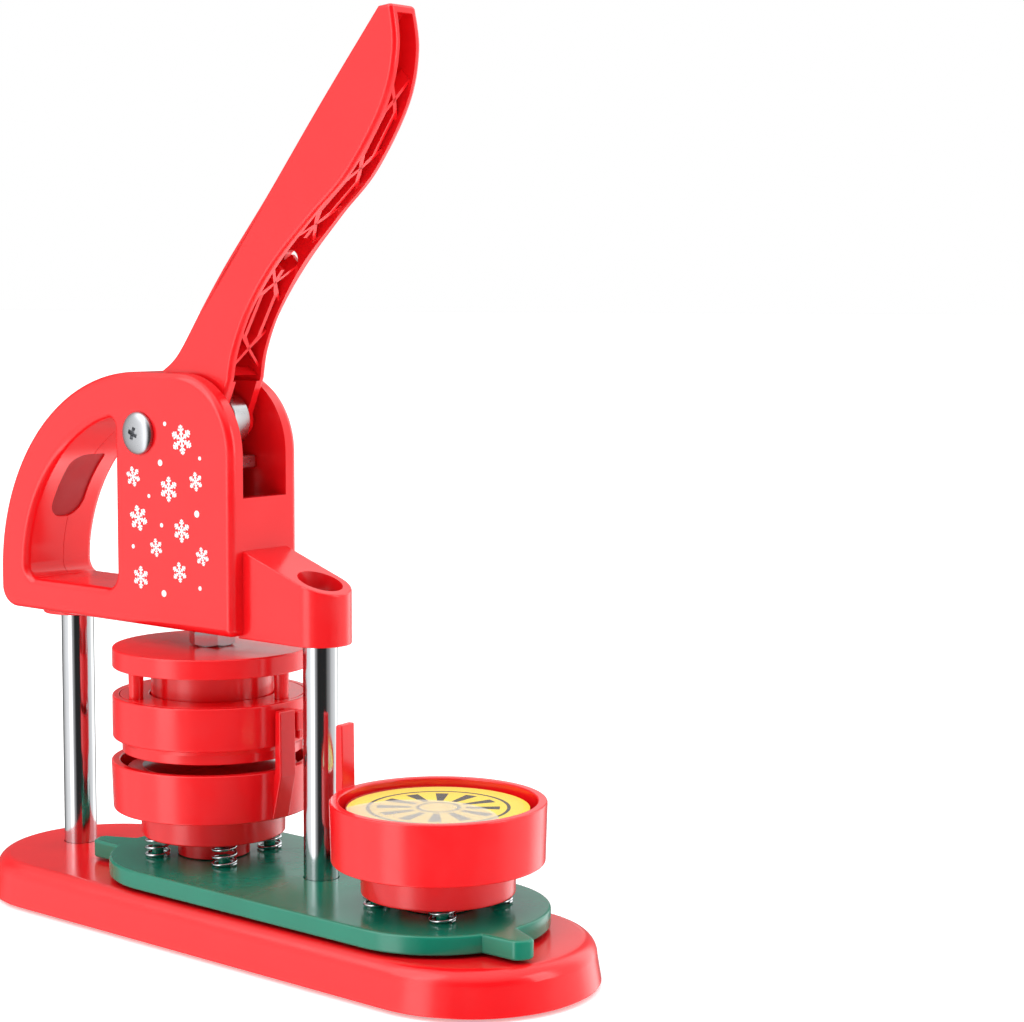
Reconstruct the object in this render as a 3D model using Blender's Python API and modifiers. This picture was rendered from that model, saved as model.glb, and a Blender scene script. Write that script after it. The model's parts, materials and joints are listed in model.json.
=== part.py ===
"""Hand-lever badge press with a turning two-die table.

Units are metres, +Z is up and +X runs from the rear grip to the front.
The origin is at the middle of the base, on the surface that its feet rest on.
"""
import math

import bmesh
import bpy
from mathutils import Matrix, Vector

MM = 0.001
GAP = 0.3 * MM
SOFT_EDGE = 0.45 * MM

# Cutters run past what they cut, to these places
BELOW_Z = -5 * MM
WAIST_Z = 100 * MM
OVER_Z = 260 * MM
ACROSS_Y = 30 * MM

# ---------------------------------------------------------------- driving dimensions
# Stations along X
PRESS_X = -37.2 * MM
TABLE_ARM = 62.2 * MM
FRONT_ROD_X = PRESS_X + TABLE_ARM
REAR_ROD_X = PRESS_X - 85.4 * MM
DIE_A_X = PRESS_X
DIE_B_X = FRONT_ROD_X + TABLE_ARM

# Base and feet
BASE_END_X = 104.0 * MM
BASE_FOOT_R = 49.3 * MM
BASE_UNDERSIDE_Z = 1.4 * MM
BASE_TOP_Z = 18.2 * MM
BASE_PROFILE = ((1.6, 9.6), (1.0, 3.0), (1.3, 2.3), (2.4, 1.9))
BASE_WALL = 3.2 * MM
BASE_ROOF = 5.0 * MM
BASE_WALL_LEAN = 2.0
COLUMN_BOSS_R = 13.0 * MM
FOOT_R = 7.0 * MM
FOOT_HEIGHT = 2.6 * MM
FOOT_X = 100.0 * MM
FOOT_Y = 27.0 * MM
FOOT_BOSS_R = 9.5 * MM

# Columns
ROD_R = 7.0 * MM
ROD_FOOT_Z = 9.4 * MM
FRONT_ROD_TOP_Z = 129.0 * MM
REAR_ROD_TOP_Z = 130.0 * MM
COLUMN_BOLT_R = 3.9 * MM
COLUMN_BOLT_HEAD_R = 6.5 * MM
BOLT_HEAD_HEIGHT = 3.4 * MM
BOLT_KEY_R = 3.0 * MM
BOLT_KEY_DEPTH = 2.5 * MM
COLUMN_TAP = 14 * MM
COLUMN_SEAT = 4 * MM
COLUMN_CHAMFER = 0.6 * MM
WASHER_R = 14 * MM

# Turning table
TABLE_TOP_Z = 27.0 * MM
TABLE_THICK = 7.5 * MM
TABLE_R = 43.2 * MM
TAB_OUTLINE = ((36.0, -19.2), (53.0, -19.2), (57.0, -16.0), (57.2, -11.6), (53.8, -9.2), (45.0, -6.6),
               (41.0, -2.5), (36.0, -2.5))
TABLE_BUSH_R = 9.7 * MM
BUSH_PLAY = 0.1 * MM
TABLE_SKIN = 2 * MM
DIE_SCREW_WAY_R = 3.3 * MM
DIE_SCREW_R = 3.0 * MM
DIE_SCREW_SEAT_R = 6.0 * MM
DIE_SCREW_HEAD_R = 5.6 * MM
DIE_SCREW_SEAT = 4 * MM
DIE_SCREW_LENGTH = 13 * MM
DIE_SCREW_TAP = 15 * MM
DIE_KEY_R = 2.3 * MM
DIE_KEY_DEPTH = 2.2 * MM
SPRING_RING_R = 23.5 * MM
PEG_R = 2.3 * MM
PEG_HEIGHT = 4.5 * MM
PEG_CHAMFER = 0.3 * MM

# Lower dies
CUP_R = 41.7 * MM
CUP_FOOT_R = 41.05 * MM
CUP_BORE_R = 38.0 * MM
CUP_RIM_Z = TABLE_TOP_Z + 40.9 * MM
STEP_R = 29.85 * MM
CORE_STEM_R = 15.0 * MM
CORE_R = 35.2 * MM
CORE_TOP_Z = TABLE_TOP_Z + 37.2 * MM
POST_INNER_R = 42.0 * MM
POST_OUTER_R = 45.6 * MM
POST_WIDTH = 8.4 * MM
POST_TOP_Z = TABLE_TOP_Z + 65.5 * MM
DIES = {
    "die_a": {"x": DIE_A_X, "step": 9.2 * MM, "floor": 20.7 * MM, "post_deg": -2.0, "spring_deg": 57.0,
              "turns": 5.5},
    "die_b": {"x": DIE_B_X, "step": 5.2 * MM, "floor": 17.3 * MM, "post_deg": 187.5, "spring_deg": 45.0,
              "turns": 4.5},
}
CUP_FLOOR = 4.3 * MM
SPRING_POCKET = 8.0 * MM
SPRING_R = 4.5 * MM
SPRING_WIRE_R = 0.55 * MM

# Badge blanks lying in the dies
SHELL_R = 29.0 * MM
SHELL_CROWN = 2.2 * MM
SHELL_RIM = 0.5 * MM
ART_R = 35.0 * MM
FILM_R = 34.0 * MM
FILM_SHIFT = (-0.9 * MM, -0.9 * MM)
SHEET_THICK = 0.35 * MM

# Upper die, hanging on the ram
DISC_R = 41.0 * MM
DISC_TOP_Z = TABLE_TOP_Z + 87.6 * MM
DISC_FOOT_Z = TABLE_TOP_Z + 79.6 * MM
UPPER_STEM_R = 25.3 * MM
UPPER_FLANGE_R = 34.5 * MM
UPPER_FLANGE_TOP_Z = TABLE_TOP_Z + 64.2 * MM
UPPER_FLANGE_FOOT_Z = TABLE_TOP_Z + 61.2 * MM
RING_TOP_Z = TABLE_TOP_Z + 68.0 * MM
RING_FOOT_Z = TABLE_TOP_Z + 50.3 * MM
RING_R = 41.1 * MM
LIP_R = 37.2 * MM
LIP_BORE_R = 35.8 * MM
LIP_FOOT_Z = TABLE_TOP_Z + 44.5 * MM
SLEEVE_R = 37.9 * MM
SHOULDER_BORE_R = 26.0 * MM
RIB = 1.0 * MM
RIB_FOOT_Z = RING_FOOT_Z + 6.7 * MM
RIB_TOP_Z = RING_FOOT_Z + 9.7 * MM
RING_PLAY = 0.4 * MM
LUGS = {
    "upper": {"reach": 46.0 * MM, "low": 6.2 * MM, "high": 14.0 * MM, "degrees": (4.5, 12.0)},
    "lower": {"reach": 45.4 * MM, "low": 2.7 * MM, "high": 7.0 * MM, "degrees": (6.5, 10.0)},
}
CORE_RECESS_R = 7.0 * MM
CORE_RECESS_DEPTH = 4.3 * MM
CORE_SCREW_R = 2.9 * MM
CORE_SCREW_WAY_R = 3.3 * MM
CORE_SCREW_HEAD_R = 6.4 * MM
CORE_KEY_R = 2.5 * MM
CORE_KEY_DEPTH = 2.4 * MM
LEG_R = 2.8 * MM
LEG_COUNT = 3
LEG_RING_R = 34.0 * MM
LEG_START_DEG = 11.7
LEG_WAY_DEPTH = 13 * MM

# Ram
RAM_R = 6.0 * MM
RAM_TOP_Z = TABLE_TOP_Z + 160.7 * MM
RAM_FOOT_Z = TABLE_TOP_Z + 70.0 * MM
PAD_TOP_Z = TABLE_TOP_Z + 166.5 * MM
PAD_FOOT_Z = TABLE_TOP_Z + 161.0 * MM
PAD_REAR = -8.0 * MM
PAD_FRONT = 15.3 * MM
PAD_HALF_WIDTH = 11.0 * MM
NUT_ACROSS_FLATS = 17.0 * MM
NUT_PLAY = 0.9 * MM
RAM_TAP_R = 3.2 * MM
RAM_TAP = 14 * MM
BUSH_R = 9.0 * MM
RETURN_SPRING = {"radius": 8.2 * MM, "wire": 0.85 * MM, "turns": 7.5}

# Head
HEAD_HALF = 19.0 * MM
HEAD_EDGE_R = 3.6 * MM
HEAD_FOOT_Z = TABLE_TOP_Z + 95.3 * MM
HEAD_TOP_Z = TABLE_TOP_Z + 200.0 * MM
HEAD_FRONT_X = PRESS_X + 31.4 * MM
HEAD_CROWN_R = 32.0 * MM
HEAD_BACK_R = 89.7 * MM
HEAD_BACK_X = PRESS_X - 25.0 * MM
HEAD_HEEL_R = 9.0 * MM
GRIP_R = 72.5 * MM
GRIP_FLOOR_Z = TABLE_TOP_Z + 109.0 * MM
GRIP_FRONT_X = PRESS_X - 38.2 * MM
GRIP_CORNER_R = 7.0 * MM
SLOT_HALF = 12.0 * MM
SLOT_SILL_Z = TABLE_TOP_Z + 151.0 * MM
SLOT_BACK_X = PRESS_X - 20.8 * MM
FRONT_WALL = 4.2 * MM
WELL_BACK_X = PRESS_X - 15.0 * MM
WELL_SHOULDER = 20.5 * MM
CAVITY_FOOT_Z = TABLE_TOP_Z + 118.0 * MM
BOSS_R = 12.5 * MM
BOSS_FOOT_Z = TABLE_TOP_Z + 94.4 * MM
BOSS_TOP_AT_FACE_Z = TABLE_TOP_Z + 130.0 * MM
BOSS_SLOPE = -0.345
COUNTERBORE_R = 9.0 * MM
COUNTERBORE_FOOT_Z = TABLE_TOP_Z + 106.5 * MM
REAR_BOSS_R = 14.5 * MM
REAR_BOSS_FOOT_Z = TABLE_TOP_Z + 93.4 * MM
BOSS_ROOT = 3 * MM
GRUB_R = 2.5 * MM
GRUB_KEY_R = 1.5 * MM
GRUB_KEY_DEPTH = 3 * MM
HEAD_BOLT_HEAD = 8 * MM
HEAD_BOLT_REACH = 12 * MM
HEAD_BOLT_KEY_R = 3.4 * MM

# Lever, in its own frame: origin on the pivot, x forward, z up
PIVOT_X = PRESS_X - 22.0 * MM
PIVOT_Z = TABLE_TOP_Z + 175.0 * MM
LEVER_ROOT_HALF = 10.4 * MM
LEVER_TIP_HALF = 7.2 * MM
LEVER_WALL = 4.0 * MM
LEVER_EDGE_R = 1.6 * MM
CHANNEL_MOUTH = 8 * MM
CHANNEL_FLOOR = ((20, 19), (60, 19))
LEVER_BACK = ((122.5, 163.8), (92.0, 130.0), (65.5, 97.7), (44.6, 72.6), (27.0, 50.8), (13.0, 32.5),
              (3.6, 25.4))
LEVER_FRONT = ((43.8, 23.0), (46.6, 34.9), (54.6, 51.0), (69.6, 69.6), (89.6, 88.0), (108.5, 104.4),
               (125.4, 128.5), (130.8, 148.5), (128.6, 164.6))
HUB_R = 12.0 * MM
PIN_EAR_R = 7.5 * MM
ROLLER_X = 30.3 * MM
ROLLER_Z = 5.7 * MM
ROLLER_R = 11.0 * MM
ROLLER_HALF = 3.5 * MM
CLEVIS_HALF = 5.8 * MM
CLEVIS_CORNERS = ((60, -30), (60, 22), (28, 22))
ROLLER_RINGS = {
    "roller_outer_race": {"outer": ROLLER_R, "inner": 9.0 * MM, "low": -ROLLER_HALF, "high": ROLLER_HALF,
                          "soft": SOFT_EDGE},
    "roller_inner_race": {"outer": 6.0 * MM, "inner": 4.1 * MM, "low": -ROLLER_HALF, "high": ROLLER_HALF,
                          "soft": SOFT_EDGE},
    "roller_shield_near": {"outer": 8.7 * MM, "inner": 6.3 * MM, "low": 2.4 * MM, "high": 3.1 * MM},
    "roller_shield_far": {"outer": 8.7 * MM, "inner": 6.3 * MM, "low": -3.1 * MM, "high": -2.4 * MM},
    "roller_spacer_near": {"outer": 5.6 * MM, "inner": 4.1 * MM, "low": 3.8 * MM, "high": 5.5 * MM},
    "roller_spacer_far": {"outer": 5.6 * MM, "inner": 4.1 * MM, "low": -5.5 * MM, "high": -3.8 * MM},
}
PIVOT_R = 4.0 * MM
PIN_R = 3.8 * MM
HUB_CLEARANCE = 1.6 * MM
ROLLER_CLEARANCE = 2.2 * MM
BALL_RING_R = 7.5 * MM
BALL_R = 1.2 * MM
SCREW_HEAD_R = 8.75 * MM
SCREW_HEAD_HEIGHT = 3.4 * MM
SCREW_HEAD_RIM = 0.8 * MM
CROSS_RECESS = (6.8 * MM, 1.4 * MM, 2.6 * MM)
CROSS_TURN_DEG = 20
CAP_NUT_PROFILE = ((0, 4.2), (5.0, 4.0), (7.4, 2.6), (8.0, 1.0), (8.0, 0.3), (0, 0.3))

ROUND_FINE = 36
ROUND_MID = 24
ROUND_SMALL = 12

# ---------------------------------------------------------------- materials
PALETTE = {
    "red_plastic": ((0.78, 0.012, 0.016), 0.32, 0.0),
    "green_plastic": ((0.01, 0.24, 0.15), 0.35, 0.0),
    "chrome": ((0.82, 0.83, 0.84), 0.08, 1.0),
    "steel": ((0.62, 0.63, 0.64), 0.28, 1.0),
    "bronze": ((0.55, 0.36, 0.16), 0.35, 1.0),
    "rubber": ((0.03, 0.03, 0.03), 0.8, 0.0),
    "tinplate": ((0.70, 0.71, 0.72), 0.2, 1.0),
    "yellow_paper": ((0.88, 0.66, 0.08), 0.6, 0.0),
    "clear_film": ((0.90, 0.86, 0.66), 0.1, 0.0),
}


def make_material(name):
    color, roughness, metallic = PALETTE[name]
    material = bpy.data.materials.new(name)
    material.use_nodes = True
    shader = material.node_tree.nodes["Principled BSDF"]
    shader.inputs["Base Color"].default_value = (*color, 1.0)
    shader.inputs["Roughness"].default_value = roughness
    shader.inputs["Metallic"].default_value = metallic
    return material


# ---------------------------------------------------------------- scene and helpers
for leftover in list(bpy.data.objects):
    bpy.data.objects.remove(leftover)
PARTS = bpy.data.collections.new("badge_press")
CUTTERS = bpy.data.collections.new("cutters")
bpy.context.scene.collection.children.link(PARTS)
bpy.context.scene.collection.children.link(CUTTERS)
MATERIALS = {name: make_material(name) for name in PALETTE}


def add_object(name, mesh, material=None, location=(0, 0, 0), rotation=(0, 0, 0)):
    """A part when it has a material, and a hidden cutter when it has none."""
    obj = bpy.data.objects.new(name, mesh)
    obj.location = location
    obj.rotation_euler = rotation
    if material is None:
        CUTTERS.objects.link(obj)
        obj.hide_render = True
        obj.display_type = "WIRE"
    else:
        PARTS.objects.link(obj)
        mesh.materials.clear()
        mesh.materials.append(MATERIALS[material])
    return obj


def smooth(obj, angle=35.0):
    obj.data.shade_smooth()
    obj.data.set_sharp_from_angle(angle=math.radians(angle))
    return obj


def bevel(obj, width, segments, angle=40.0):
    modifier = obj.modifiers.new("edges", "BEVEL")
    modifier.width = width
    modifier.segments = segments
    modifier.limit_method = "ANGLE"
    modifier.angle_limit = math.radians(angle)
    return obj


def boolean(obj, other, operation):
    modifier = obj.modifiers.new(operation.lower(), "BOOLEAN")
    modifier.operation = operation
    modifier.object = other
    modifier.solver = "EXACT"
    return obj


def cut(obj, *others):
    for other in others:
        boolean(obj, other, "DIFFERENCE")
    return obj


def join(obj, *others):
    for other in others:
        boolean(obj, other, "UNION")
    return obj


def turned(name, profile, material=None, location=(0, 0, 0), rotation=(0, 0, 0), steps=ROUND_FINE):
    """Turn (radius, height) points about Z. A profile that starts off the axis is a closed ring."""
    mesh = bpy.data.meshes.new(name)
    points = [(radius, 0.0, height) for radius, height in profile]
    edges = [(i, i + 1) for i in range(len(points) - 1)]
    if profile[0][0] > 0:
        edges.append((len(points) - 1, 0))
    mesh.from_pydata(points, edges, [])
    obj = add_object(name, mesh, material, location, rotation)
    screw = obj.modifiers.new("turn", "SCREW")
    screw.steps = steps
    screw.render_steps = steps
    screw.use_merge_vertices = True
    screw.merge_threshold = 0.01 * MM
    screw.use_normal_calculate = False
    screw.use_smooth_shade = True
    return obj


def tube_profile(outer, inner, low, high, chamfer=0.0):
    if not chamfer:
        return [(inner, high), (outer, high), (outer, low), (inner, low)]
    return [(inner, high), (outer - chamfer, high), (outer, high - chamfer), (outer, low + chamfer),
            (outer - chamfer, low), (inner, low)]


def rod_profile(radius, low, high, chamfer=0.0):
    if not chamfer:
        return [(0, high), (radius, high), (radius, low), (0, low)]
    return [(0, high), (radius - chamfer, high), (radius, high - chamfer), (radius, low + chamfer),
            (radius - chamfer, low), (0, low)]


def cylinder(name, radius, low, high, x=0.0, y=0.0, material=None, steps=ROUND_MID):
    """An upright cylinder from height low to height high."""
    mesh = bpy.data.meshes.new(name)
    form = bmesh.new()
    bmesh.ops.create_cone(form, cap_ends=True, segments=steps, radius1=radius, radius2=radius,
                          depth=high - low)
    form.to_mesh(mesh)
    form.free()
    return add_object(name, mesh, material, (x, y, (low + high) / 2))


def cross_cylinder(name, radius, low_y, high_y, x, z, material=None, steps=ROUND_MID):
    """A cylinder that lies along Y."""
    mesh = bpy.data.meshes.new(name)
    form = bmesh.new()
    bmesh.ops.create_cone(form, cap_ends=True, segments=steps, radius1=radius, radius2=radius,
                          depth=high_y - low_y)
    bmesh.ops.rotate(form, verts=form.verts, matrix=Matrix.Rotation(math.radians(90), 3, "X"))
    form.to_mesh(mesh)
    form.free()
    return add_object(name, mesh, material, (x, (low_y + high_y) / 2, z))


def block(name, low, high, material=None):
    mesh = bpy.data.meshes.new(name)
    form = bmesh.new()
    bmesh.ops.create_cube(form, size=1.0)
    size = Vector(high) - Vector(low)
    bmesh.ops.scale(form, verts=form.verts, vec=size)
    form.to_mesh(mesh)
    form.free()
    return add_object(name, mesh, material, (Vector(low) + Vector(high)) / 2)


def slab(name, outlines, low, high, material=None, upright=False, location=(0, 0, 0)):
    """A flat outline, with any holes, made thick. Upright ones are drawn in XZ and thick along Y."""
    curve = bpy.data.curves.new(name, "CURVE")
    curve.dimensions = "2D"
    curve.fill_mode = "BOTH"
    curve.extrude = (high - low) / 2
    for outline in outlines:
        spline = curve.splines.new("POLY")
        spline.points.add(len(outline) - 1)
        for point, (first, second) in zip(spline.points, outline):
            point.co = (first, second, 0, 1)
        spline.use_cyclic_u = True
    guide = bpy.data.objects.new(name + "_outline", curve)
    CUTTERS.objects.link(guide)
    graph = bpy.context.evaluated_depsgraph_get()
    mesh = bpy.data.meshes.new_from_object(guide.evaluated_get(graph))
    bpy.data.objects.remove(guide)
    form = bmesh.new()
    form.from_mesh(mesh)
    bmesh.ops.remove_doubles(form, verts=form.verts, dist=0.01 * MM)
    bmesh.ops.dissolve_limit(form, angle_limit=math.radians(0.5), verts=form.verts, edges=form.edges)
    bmesh.ops.translate(form, verts=form.verts, vec=(0, 0, (low + high) / 2))
    if upright:
        bmesh.ops.rotate(form, verts=form.verts, matrix=Matrix.Rotation(math.radians(90), 3, "X"))
        bmesh.ops.translate(form, verts=form.verts, vec=(0, low + high, 0))
    bmesh.ops.recalc_face_normals(form, faces=form.faces)
    form.to_mesh(mesh)
    form.free()
    mesh.name = name
    return add_object(name, mesh, material, location)


def arc(center_x, center_y, radius, start_deg, end_deg, steps):
    angles = (math.radians(start_deg + (end_deg - start_deg) * i / steps) for i in range(steps + 1))
    return [(center_x + radius * math.cos(a), center_y + radius * math.sin(a)) for a in angles]


def stadium(end_x, radius, steps=16):
    return arc(end_x, 0, radius, -90, 90, steps) + arc(-end_x, 0, radius, 90, 270, steps)


def flowing(points, per_span):
    """A Catmull-Rom curve through points that are given in millimetres."""
    padded = [points[0], *points, points[-1]]
    result = []
    for i in range(1, len(padded) - 2):
        p0, p1, p2, p3 = (Vector(p) for p in padded[i - 1:i + 3])
        for step in range(per_span):
            t = step / per_span
            spot = 0.5 * (2 * p1 + (p2 - p0) * t + (2 * p0 - 5 * p1 + 4 * p2 - p3) * t * t
                          + (3 * p1 - p0 - 3 * p2 + p3) * t ** 3)
            result.append((spot.x * MM, spot.y * MM))
    result.append((points[-1][0] * MM, points[-1][1] * MM))
    return result


def shifted(points, distance):
    """A polyline moved sideways, to the left of its own direction."""
    result = []
    for i, (x, y) in enumerate(points):
        before = Vector(points[max(i - 1, 0)])
        after = Vector(points[min(i + 1, len(points) - 1)])
        along = (after - before).normalized()
        result.append((x - along.y * distance, y + along.x * distance))
    return result


def coil(name, radius, wire_r, low, high, turns, material, x=0.0, y=0.0, per_turn=8):
    """A round-wire spring about Z. Its last half turn at each end lies flat."""
    curve = bpy.data.curves.new(name, "CURVE")
    curve.dimensions = "3D"
    curve.bevel_depth = wire_r
    curve.bevel_resolution = 0
    curve.use_fill_caps = True
    count = int(turns * per_turn)
    spline = curve.splines.new("POLY")
    spline.points.add(count)
    flat = 0.5 / turns
    for i, point in enumerate(spline.points):
        share = i / count
        rise = min(max((share - flat) / (1 - 2 * flat), 0.0), 1.0)
        angle = 2 * math.pi * turns * share
        height = low + wire_r + (high - low - 2 * wire_r) * (0.03 * share + 0.97 * rise)
        point.co = (radius * math.cos(angle), radius * math.sin(angle), height, 1)
    obj = bpy.data.objects.new(name, curve)
    obj.location = (x, y, 0)
    curve.materials.append(MATERIALS[material])
    PARTS.objects.link(obj)
    return obj


# ---------------------------------------------------------------- base
def tapered_stadium(name, end_x, foot_r, low, profile, material=None):
    """A stadium that narrows upwards: each profile step is (inward, upward) in millimetres."""
    mesh = bpy.data.meshes.new(name)
    form = bmesh.new()
    radius, height = foot_r, low
    rings = [[form.verts.new((x, y, height)) for x, y in stadium(end_x, radius)]]
    for inward, upward in profile:
        radius -= inward * MM
        height += upward * MM
        rings.append([form.verts.new((x, y, height)) for x, y in stadium(end_x, radius)])
    form.faces.new(list(reversed(rings[0])))
    form.faces.new(rings[-1])
    for below, above in zip(rings, rings[1:]):
        for i in range(len(below)):
            form.faces.new((below[i - 1], below[i], above[i], above[i - 1]))
    form.to_mesh(mesh)
    form.free()
    return add_object(name, mesh, material)


def build_base():
    base = tapered_stadium("base_shell", BASE_END_X, BASE_FOOT_R, BASE_UNDERSIDE_Z, BASE_PROFILE,
                           "red_plastic")
    cavity_height = (BASE_TOP_Z - BASE_ROOF - BASE_UNDERSIDE_Z + GAP) / MM
    cavity = tapered_stadium("base_cavity", BASE_END_X, BASE_FOOT_R - BASE_WALL, BASE_UNDERSIDE_Z - GAP,
                             ((BASE_WALL_LEAN, cavity_height),))
    for label, x in (("front", FRONT_ROD_X), ("rear", REAR_ROD_X)):
        cut(cavity, cylinder("base_boss_" + label, COLUMN_BOSS_R, ROD_FOOT_Z - COLUMN_SEAT, BASE_TOP_Z, x))
    feet = [(x, y) for x in (-FOOT_X, FOOT_X) for y in (-FOOT_Y, FOOT_Y)]
    for i, (x, y) in enumerate(feet, 1):
        cut(cavity, cylinder(f"foot_boss_{i}", FOOT_BOSS_R, BELOW_Z, BASE_TOP_Z, x, y))
    cut(base, cavity)
    for label, x in (("front", FRONT_ROD_X), ("rear", REAR_ROD_X)):
        cut(base, cylinder("socket_" + label, ROD_R + GAP, ROD_FOOT_Z - GAP, BASE_TOP_Z + MM, x),
            cylinder("bolt_way_" + label, COLUMN_BOLT_R + GAP, BELOW_Z, ROD_FOOT_Z, x))
    for i, (x, y) in enumerate(feet, 1):
        cut(base, cylinder(f"foot_seat_{i}", FOOT_R + GAP, BELOW_Z, FOOT_HEIGHT + GAP, x, y))
        foot = turned(f"rubber_foot_{i}", rod_profile(FOOT_R, 0, FOOT_HEIGHT, 0.4 * MM), "rubber", (x, y, 0),
                      steps=ROUND_SMALL)
        smooth(foot)
    smooth(base)


def build_columns():
    for label, x, top in (("front", FRONT_ROD_X, FRONT_ROD_TOP_Z), ("rear", REAR_ROD_X, REAR_ROD_TOP_Z)):
        bore = COLUMN_BOLT_R + GAP
        tap_top = ROD_FOOT_Z + COLUMN_TAP
        end_r = ROD_R - COLUMN_CHAMFER
        profile = [(end_r, top), (ROD_R, top - COLUMN_CHAMFER), (ROD_R, ROD_FOOT_Z + COLUMN_CHAMFER),
                   (end_r, ROD_FOOT_Z), (bore, ROD_FOOT_Z), (bore, tap_top), (0, tap_top)]
        if label == "front":
            profile = [(0, top - COLUMN_TAP), (bore, top - COLUMN_TAP), (bore, top)] + profile
        else:
            profile = [(0, top)] + profile
        smooth(turned(label + "_column", profile, "chrome", (x, 0, 0), steps=ROUND_MID))
        head_top = ROD_FOOT_Z - COLUMN_SEAT - GAP
        head_foot = head_top - BOLT_HEAD_HEIGHT
        shank_top = tap_top - MM
        bolt = turned(f"{label}_column_bolt",
                      [(0, shank_top), (COLUMN_BOLT_R, shank_top), (COLUMN_BOLT_R, head_top),
                       (COLUMN_BOLT_HEAD_R, head_top), (COLUMN_BOLT_HEAD_R, head_foot), (0, head_foot)],
                      "steel", (x, 0, 0), steps=ROUND_SMALL)
        cut(bolt, cylinder(f"{label}_bolt_hex", BOLT_KEY_R, BELOW_Z, head_foot + BOLT_KEY_DEPTH, x, steps=6))


# ---------------------------------------------------------------- turning table
def build_table():
    low = TABLE_TOP_Z - TABLE_THICK
    outline = arc(TABLE_ARM, 0, TABLE_R, -90, 90, 18) + arc(-TABLE_ARM, 0, TABLE_R, 90, 270, 18)
    table = slab("turning_table", [outline], low, TABLE_TOP_Z, "green_plastic", location=(FRONT_ROD_X, 0, 0))
    for label, way in (("front", 1), ("rear", -1)):
        tab = [(way * (TABLE_ARM + x * MM), y * MM) for x, y in TAB_OUTLINE]
        tab_slab = slab("tab_" + label, [tab], low, TABLE_TOP_Z, location=(FRONT_ROD_X, 0, 0))
        join(table, tab_slab)
    bevel(table, 0.7 * MM, 1)
    for name, die in DIES.items():
        screw_way = cylinder(name + "_screw_way", DIE_SCREW_WAY_R, BELOW_Z, WAIST_Z, die["x"],
                             steps=ROUND_SMALL)
        screw_seat = cylinder(name + "_screw_seat", DIE_SCREW_SEAT_R, BELOW_Z, low + DIE_SCREW_SEAT, die["x"])
        cut(table, screw_way, screw_seat)
        peg = rod_profile(PEG_R, TABLE_TOP_Z - MM, TABLE_TOP_Z + PEG_HEIGHT, PEG_CHAMFER)
        for i, (x, y) in enumerate(spring_places(die), 1):
            join(table, turned(f"{name}_peg_{i}", peg, None, (x, y, 0), steps=ROUND_SMALL))
    cut(table, cylinder("table_bore", ROD_R + GAP, BELOW_Z, WAIST_Z, FRONT_ROD_X),
        cylinder("bush_seat", TABLE_BUSH_R + GAP, BELOW_Z, TABLE_TOP_Z - TABLE_SKIN, FRONT_ROD_X))
    smooth(table)
    bush = tube_profile(TABLE_BUSH_R, ROD_R + BUSH_PLAY, low, TABLE_TOP_Z - TABLE_SKIN - GAP)
    smooth(turned("table_bush", bush, "bronze", (FRONT_ROD_X, 0, 0), steps=ROUND_MID))
    washer = tube_profile(WASHER_R, ROD_R + GAP, BASE_TOP_Z + GAP, low - GAP)
    smooth(turned("thrust_washer", washer, "steel", (FRONT_ROD_X, 0, 0), steps=ROUND_MID))


def spring_places(die):
    angles = (math.radians(die["spring_deg"] + 90 * i) for i in range(4))
    return [(die["x"] + SPRING_RING_R * math.cos(a), SPRING_RING_R * math.sin(a)) for a in angles]


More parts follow.
